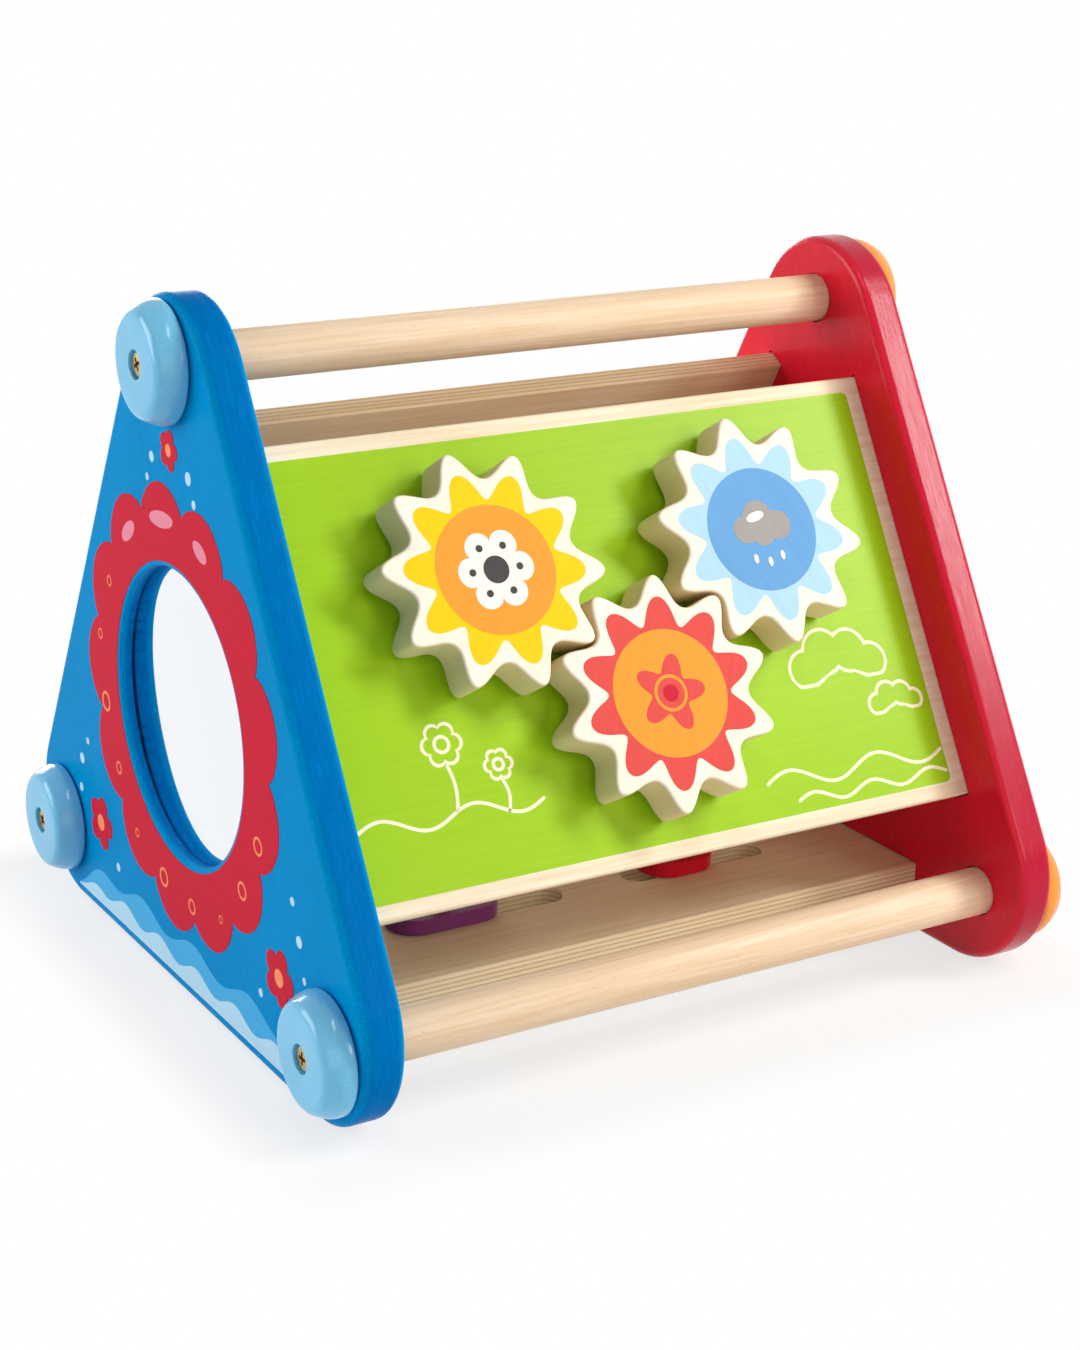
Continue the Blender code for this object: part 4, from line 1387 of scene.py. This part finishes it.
@dataclass
class GearTrain:
    """The three meshing wooden gears with their printed faces and the pieces behind the board."""

    layout: Layout
    teeth: int = 10
    tip: float = 36.8 * MM
    root: float = 28.0 * MM
    pointedness: float = 0.12
    thickness: float = 14 * MM
    lift: float = 1.8 * MM
    rounding: float = 1.0 * MM
    print_tip: float = 29.8 * MM
    print_root: float = 21.2 * MM
    print_pointedness: float = -0.08
    disc_radius: float = 19.7 * MM
    points_per_tooth: int = 26

    def phase(self, node: str, plane: Matrix) -> float:
        """The angle of a tooth, read from the CAD gear's farthest corners."""
        inverse = plane.inverted()
        best, angle = 0.0, 0.0
        for vertex in frame["nodes"][node].data.vertices:
            point = inverse @ vertex.co
            reach = math.hypot(point.x, point.y)
            if reach > best + 1e-6:
                best, angle = reach, math.atan2(point.y, point.x)
        return angle

    def wheel(self, name: str, tree: GeometryTree, plane: Matrix,
              sizes: tuple[float, float, float], bottom: float, thickness: float,
              material: Material) -> Piece:
        """Grow a toothed outline and put it on the gear's plane."""
        tip, root, pointedness = sizes
        made = grow(name, tree, {
            "Teeth": self.teeth, "Points per tooth": self.points_per_tooth, "Tip radius": tip,
            "Root radius": root, "Pointedness": pointedness, "Thickness": thickness, "Finish": material,
        })
        made.data.transform(plane @ Matrix.Translation((0, 0, bottom)))
        return made

    def motif(self, colour: str) -> list[tuple[Hue, list[Loop]]]:
        """The small printed picture on a gear's disc, as inks and outlines from the lowest layer up."""
        if colour == "yellow":
            petals = polar_loop(lambda a: (8.6 + 4.0 * abs(math.cos(3 * a)) ** 0.6) * MM, 180)
            dots = [disc((7.9 * MM * math.cos(a), 7.9 * MM * math.sin(a)), 1.1 * MM, 24)
                    for a in (TAU * k / 6 for k in range(6))]
            return [(Hue.WHITE, [petals]), (Hue.CHARCOAL, [disc((0, 0), 4.2 * MM, 48)]), (Hue.CHARCOAL, dots)]
        if colour == "red":
            petals = polar_loop(lambda a: (9.4 + 2.8 * math.cos(5 * a)) * MM, 180)
            return [(Hue.GEAR_RED, [petals]), (Hue.GEAR_ORANGE, ring((0, 0), 5.2 * MM, 1.0 * MM, 48)),
                    (Hue.MOTIF_RED, [disc((0, 0), 2.6 * MM, 32)])]
        hubs = ((-6.0, -1.0, 4.4), (-0.6, 2.2, 5.6), (6.2, -0.8, 4.6), (0, -2.6, 4.2))
        bumps = [(x * MM, (y + 1.5) * MM) for x, y in bumpy_loop(hubs)]
        drops = [oval((x * MM, y * MM), (0.8 * MM, 1.5 * MM), 0, 24)
                 for x, y in ((-5, -9), (0, -10.5), (5, -9))]
        shine = oval((-1.5 * MM, 4.2 * MM), (3.4 * MM, 1.5 * MM), 12)
        return [(Hue.STONE_GREY, [bumps]), (Hue.WHITE, [shine]), (Hue.WHITE, drops)]

    def gear(self, colour: str, ray_hue: Hue, disc_hue: Hue, tree: GeometryTree) -> None:
        """Make one gear and its print in place of the CAD solid."""
        node, body, slot = f"{colour}_gear", f"{colour}_gear_body", f"{colour}_gear_face"
        board = self.layout.board_plane(TILTS["gear_board"], self.layout.stand_out)
        spot = board.inverted() @ axle_place(colour)
        plane = board @ Matrix.Translation((spot.x, spot.y, 0))
        angle = self.phase(node, plane)
        spun = plane @ Matrix.Rotation(angle, 4, "Z")
        grain = plane @ Matrix.Rotation(0.35 + angle, 4, "Z") @ Matrix.Translation((0.2 * angle, 0, 0))
        face = self.lift + self.thickness
        # The sides' darker tan is partly end grain and partly painted shade.
        wood = shelf.take(BareWood(f"bare_wood_{node}", "FDF7EC", "F7EBD7", grain, 40 * MM, 2.2 * MM,
                                   fleck_share=0.3, roughness=0.55, side="E4D0A4", face_height=face))
        sizes = (self.tip, self.root, self.pointedness)
        wheel = self.wheel(f"{node}_wheel", tree, spun, sizes, self.lift, self.thickness, wood)
        soften(wheel, self.rounding, 4)
        hand_over(wheel, body, slot, node)
        rays = (self.print_tip, self.print_root, self.print_pointedness)
        ink = shelf.take(ScreenPrint(f"ink_{node}_rays", ray_hue, grain))
        hand_over(self.wheel(f"{node}_rays", tree, spun, rays, face - INK, 2 * INK, ink), body, slot)
        middle_ink = shelf.take(ScreenPrint(f"ink_{node}_disc", disc_hue, grain))
        round_print = disc((0, 0), self.disc_radius, 96)
        top = slab(f"{node}_disc", [round_print], face, face + 2 * INK, plane, middle_ink)
        hand_over(top, body, slot)
        for layer, (hue, loops) in enumerate(self.motif(colour), 3):
            ink = shelf.take(ScreenPrint(f"ink_{node}_{hue.name.lower()}", hue, grain))
            piece = slab(f"{node}_motif_{layer - 2}", loops, face, face + layer * INK, plane, ink)
            hand_over(piece, body, slot)

    def build(self, tree: GeometryTree) -> None:
        """Make the three gears and dress the pieces that hold them."""
        hues = {"yellow": (Hue.GEAR_YELLOW, Hue.GEAR_ORANGE), "red": (Hue.GEAR_RED, Hue.GEAR_ORANGE),
                "blue": (Hue.GEAR_SKY, Hue.GEAR_BLUE)}
        wood = small_parts_wood("bare_wood_hidden", self.layout.board_plane(TILTS["gear_board"], 0))
        for colour in GEAR_COLOURS:
            self.gear(colour, *hues[colour], tree)
            for part in ("axle", "spacer", "retaining_disc"):
                dress(f"{colour}_gear_{part}", wood)
            dress(f"{colour}_gear_screw", shelf.take(PlatedSteel()))


@dataclass
class Sliders:
    """The two sliding pieces in the bottom board's slots."""

    layout: Layout
    end_share: float = 0.48
    edge_rounding: float = 1.2 * MM
    screw_hole: float = 1.9 * MM
    knob_height: float = 8 * MM
    knob_rounding: float = 2.6 * MM
    neck_radius: float = 5.5 * MM

    def plate(self, colour: str, material: Material) -> None:
        """Make a slider's painted plate, which lies on the board over its slot."""
        node = f"{colour}_slider_plate"
        low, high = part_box(node)
        length, width, thickness = (high[i] - low[i] for i in range(3))
        outline = rounded_rectangle(length, width, width * self.end_share, 16)
        plate = slab(f"{colour}_sliding_plate", [outline, disc((0, 0), self.screw_hole, 40)],
                     -thickness / 2, thickness / 2, Matrix.Translation(middle(node)), material)
        soften(plate, self.edge_rounding, 4)
        hand_over(plate, f"{colour}_slider_body", f"{colour}_lacquer", node)

    def knob(self, colour: str, material: Material) -> None:
        """Turn a slider's knob, below the board, with its neck in the slot."""
        node = f"{colour}_slider_knob"
        low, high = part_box(node)
        radius, height = (high[0] - low[0]) / 2, high[2] - low[2]
        profile = rounded_profile([
            (0, 0, 0), (radius, 0, self.knob_rounding), (radius, self.knob_height, 0.5 * MM),
            (self.neck_radius, self.knob_height, 0), (self.neck_radius, height, 0),
            (self.screw_hole, height, 0), (self.screw_hole, self.knob_height / 2, 0),
            (0, self.knob_height / 2, 0)])
        spot = middle(node)
        foot = Matrix.Translation((spot.x, spot.y, low[2]))
        knob = turned(f"{colour}_sliding_knob", profile, foot, material, 64)
        hand_over(knob, f"{colour}_slider_body", "gear_wood", node)

    def build(self) -> None:
        """Make the sliders' plates and knobs, and dress their screws."""
        plane = self.layout.board_plane(TILTS["bottom_board"], 0)
        wood = small_parts_wood("bare_wood_knob", plane)
        for colour, hue in (("purple", Hue.PURPLE), ("red", Hue.PANEL_RED)):
            self.plate(colour, shelf.take(Lacquer(f"lacquer_{colour}_slider", hue, plane, 0.4)))
            self.knob(colour, wood)
            dress(f"{colour}_slider_screw", shelf.take(PlatedSteel()))


def dress(node: str, material: Material) -> None:
    """Give a CAD node its finish."""
    obj = frame["nodes"][node]
    for slot in obj.material_slots:
        slot.material = material
    log.info("%s keeps its solid", node)


@dataclass
class Studio:
    """A pale floor, a white surround, soft lamps and the camera."""

    floor_size: float = 6.0
    floor_fade_end: float = 0.03
    floor_least_white: float = 0.72
    surround: float = 0.08
    camera_place: Place = (-0.402776, -0.675082, 0.350745)
    azimuth: float = -30.7546
    elevation: float = 19.1952
    roll: float = 0.7121
    focal_pixels: float = 2528.0
    principal: Point = (523.28, 703.75)
    image: tuple[int, int] = (1080, 1350)
    sensor: float = 36.0

    def camera(self) -> None:
        """Set the camera at the photograph's place, with its focal length and framing."""
        azimuth, elevation, roll = (math.radians(v) for v in (self.azimuth, self.elevation, self.roll))
        back = Vector((math.sin(azimuth) * math.cos(elevation), -math.cos(azimuth) * math.cos(elevation),
                       math.sin(elevation)))
        level = Vector((math.cos(azimuth), math.sin(azimuth), 0))
        up = back.cross(level)
        right = level * math.cos(roll) + up * math.sin(roll)
        top = up * math.cos(roll) - level * math.sin(roll)
        data = bpy.data.cameras.new("photo_camera")
        data.sensor_width = self.sensor
        data.lens = self.focal_pixels * self.sensor / self.image[1]
        data.shift_x = (self.image[0] / 2 - self.principal[0]) / self.image[1]
        data.shift_y = (self.principal[1] - self.image[1] / 2) / self.image[1]
        data.clip_start = 0.01
        camera = bpy.data.objects.new("photo_camera", data)
        turn = Matrix((right, top, back)).transposed().to_4x4()
        camera.matrix_world = Matrix.Translation(self.camera_place) @ turn
        bpy.context.scene.collection.objects.link(camera)
        bpy.context.scene.camera = camera

    def lamp(self, name: str, place: Place, size: Point, power: float, colour: str) -> None:
        """Hang one soft rectangular lamp, of that width and height, that faces the toy."""
        data = bpy.data.lights.new(name, "AREA")
        data.shape = "RECTANGLE"
        data.size, data.size_y = size
        data.energy = power
        data.color = to_linear(colour)[:3]
        lamp = bpy.data.objects.new(name, data)
        aim = (Vector(place) - Vector((0, 0, 0.1))).to_track_quat("Z", "Y")
        lamp.matrix_world = Matrix.Translation(place) @ aim.to_matrix().to_4x4()
        bpy.context.scene.collection.objects.link(lamp)

    def white_for_rays(self, tree: Tree) -> Socket:
        """One for rays that show the background as it is: camera, glossy and transmission rays."""
        rays = add_node(tree, "ShaderNodeLightPath").outputs
        direct = calculate(tree, "MAXIMUM", rays["Is Camera Ray"], rays["Is Glossy Ray"])
        return calculate(tree, "MAXIMUM", direct, rays["Is Transmission Ray"])

    def world(self) -> None:
        """White surround: full white to the eye and in reflections, dimmer as a light."""
        world = bpy.data.worlds.new("surround")
        bpy.context.scene.world = world
        world.use_nodes = True
        tree = world.node_tree
        shown = self.white_for_rays(tree)
        strength = add_node(tree, "ShaderNodeMapRange", {
            "Value": shown, "To Min": self.surround, "To Max": 1.0,
        })
        back = tree.nodes["Background"]
        back.inputs["Color"].default_value = (1, 1, 1, 1)
        tree.links.new(strength.outputs[0], back.inputs["Strength"])

    def floor(self) -> None:
        """Pale paper floor that keeps the toy's shadow and turns plain white farther out."""
        mesh = bpy.data.meshes.new("floor")
        built = bmesh.new()
        bmesh.ops.create_grid(built, x_segments=1, y_segments=1, size=self.floor_size / 2)
        built.to_mesh(mesh)
        built.free()
        material, tree, shader = new_material("white_paper")
        shader.inputs["Base Color"].default_value = to_linear("F4F4F4")
        shader.inputs["Roughness"].default_value = 0.9
        low, high = (Vector(corner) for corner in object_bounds())
        half = Vector((high.x - low.x, high.y - low.y, 1)) / 2
        beyond = add_node(tree, "ShaderNodeTexCoord").outputs["Object"]
        for operation, second in (("ABSOLUTE", (0, 0, 0)), ("SUBTRACT", half), ("MAXIMUM", (0, 0, 0))):
            step = add_node(tree, "ShaderNodeVectorMath", {0: beyond, 1: second}, operation=operation)
            beyond = step.outputs[0]
        reach = add_node(tree, "ShaderNodeVectorMath", {0: beyond}, operation="LENGTH")
        far = steps_between(tree, reach.outputs["Value"], 0, self.floor_fade_end)
        white = calculate(tree, "MULTIPLY_ADD", far, 1 - self.floor_least_white, self.floor_least_white)
        share = calculate(tree, "MULTIPLY", white, self.white_for_rays(tree))
        glow = add_node(tree, "ShaderNodeEmission", {"Color": (1, 1, 1, 1), "Strength": 1.0})
        mixed = add_node(tree, "ShaderNodeMixShader", {0: share, 1: shader.outputs[0], 2: glow.outputs[0]})
        tree.links.new(mixed.outputs[0], tree.nodes["Material Output"].inputs["Surface"])
        mesh_object("floor", mesh, material)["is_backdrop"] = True

    def build(self) -> None:
        """Set the whole studio."""
        self.camera()
        self.world()
        self.floor()
        for name, place, size, power, colour in (
                ("key", (0.7, -0.58, 1.15), (0.34, 0.34), 5.6, "FFFBF4"),
                ("left_fill", (-1.4, 0.75, 0.55), (1.0, 1.0), 15.5, "FFFFFF"),
                ("sheen", (1.0, -0.84, 0.9), (0.3, 0.4), 10.0, "FFFFFF"),
                ("front_fill", (-0.7, -1.15, 0.34), (0.7, 0.7), 1.8, "FFFFFF"),
                ("front_low", (0.5, -1.25, 0.6), (0.4, 0.4), 4.0, "FFF2E2"),
                ("top_strip", (-0.3, -0.5, 1.3), (0.14, 0.5), 2.2, "FFFFFF"),
                ("back_rim", (0.2, 1.2, 0.3), (0.9, 0.5), 9.0, "FFFFFF")):
            self.lamp(name, place, size, power, colour)


def main() -> None:
    """Dress the toy from its panels to its gears, then set the studio."""
    logging.basicConfig(level=logging.INFO, format="%(message)s")
    bpy.context.scene.view_settings.view_transform = "Standard"
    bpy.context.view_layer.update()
    layout = Layout.read()
    wheels, copies = wheel_tree(), scatter_tree()
    left = EndPanel(layout, -1, "left_end_panel", Hue.PANEL_BLUE, "blue_lacquer",
                    roughness=0.24, gloss=0.006, relief=0.5, edge=Hue.EDGE_BLUE)
    left.build()
    EndPanel(layout, 1, "right_end_panel", Hue.PANEL_RED, "red_lacquer",
             roughness=0.2, gloss=0.2, relief=0.6, edge=Hue.EDGE_RED).build()
    EndPrint(layout, left).build(copies)
    Mirror(layout).build()
    for index in (1, 2, 3):
        dress(f"mirror_backing_screw_{index}", shelf.take(PlatedSteel()))
    Dowels().build()
    EndCaps(layout).build(copies)
    boards = Boards(layout)
    boards.wood()
    boards.front_field()
    boards.rear_field()
    GearTrain(layout).build(wheels)
    Sliders(layout).build()
    Studio().build()


if __name__ == "__main__":
    main()
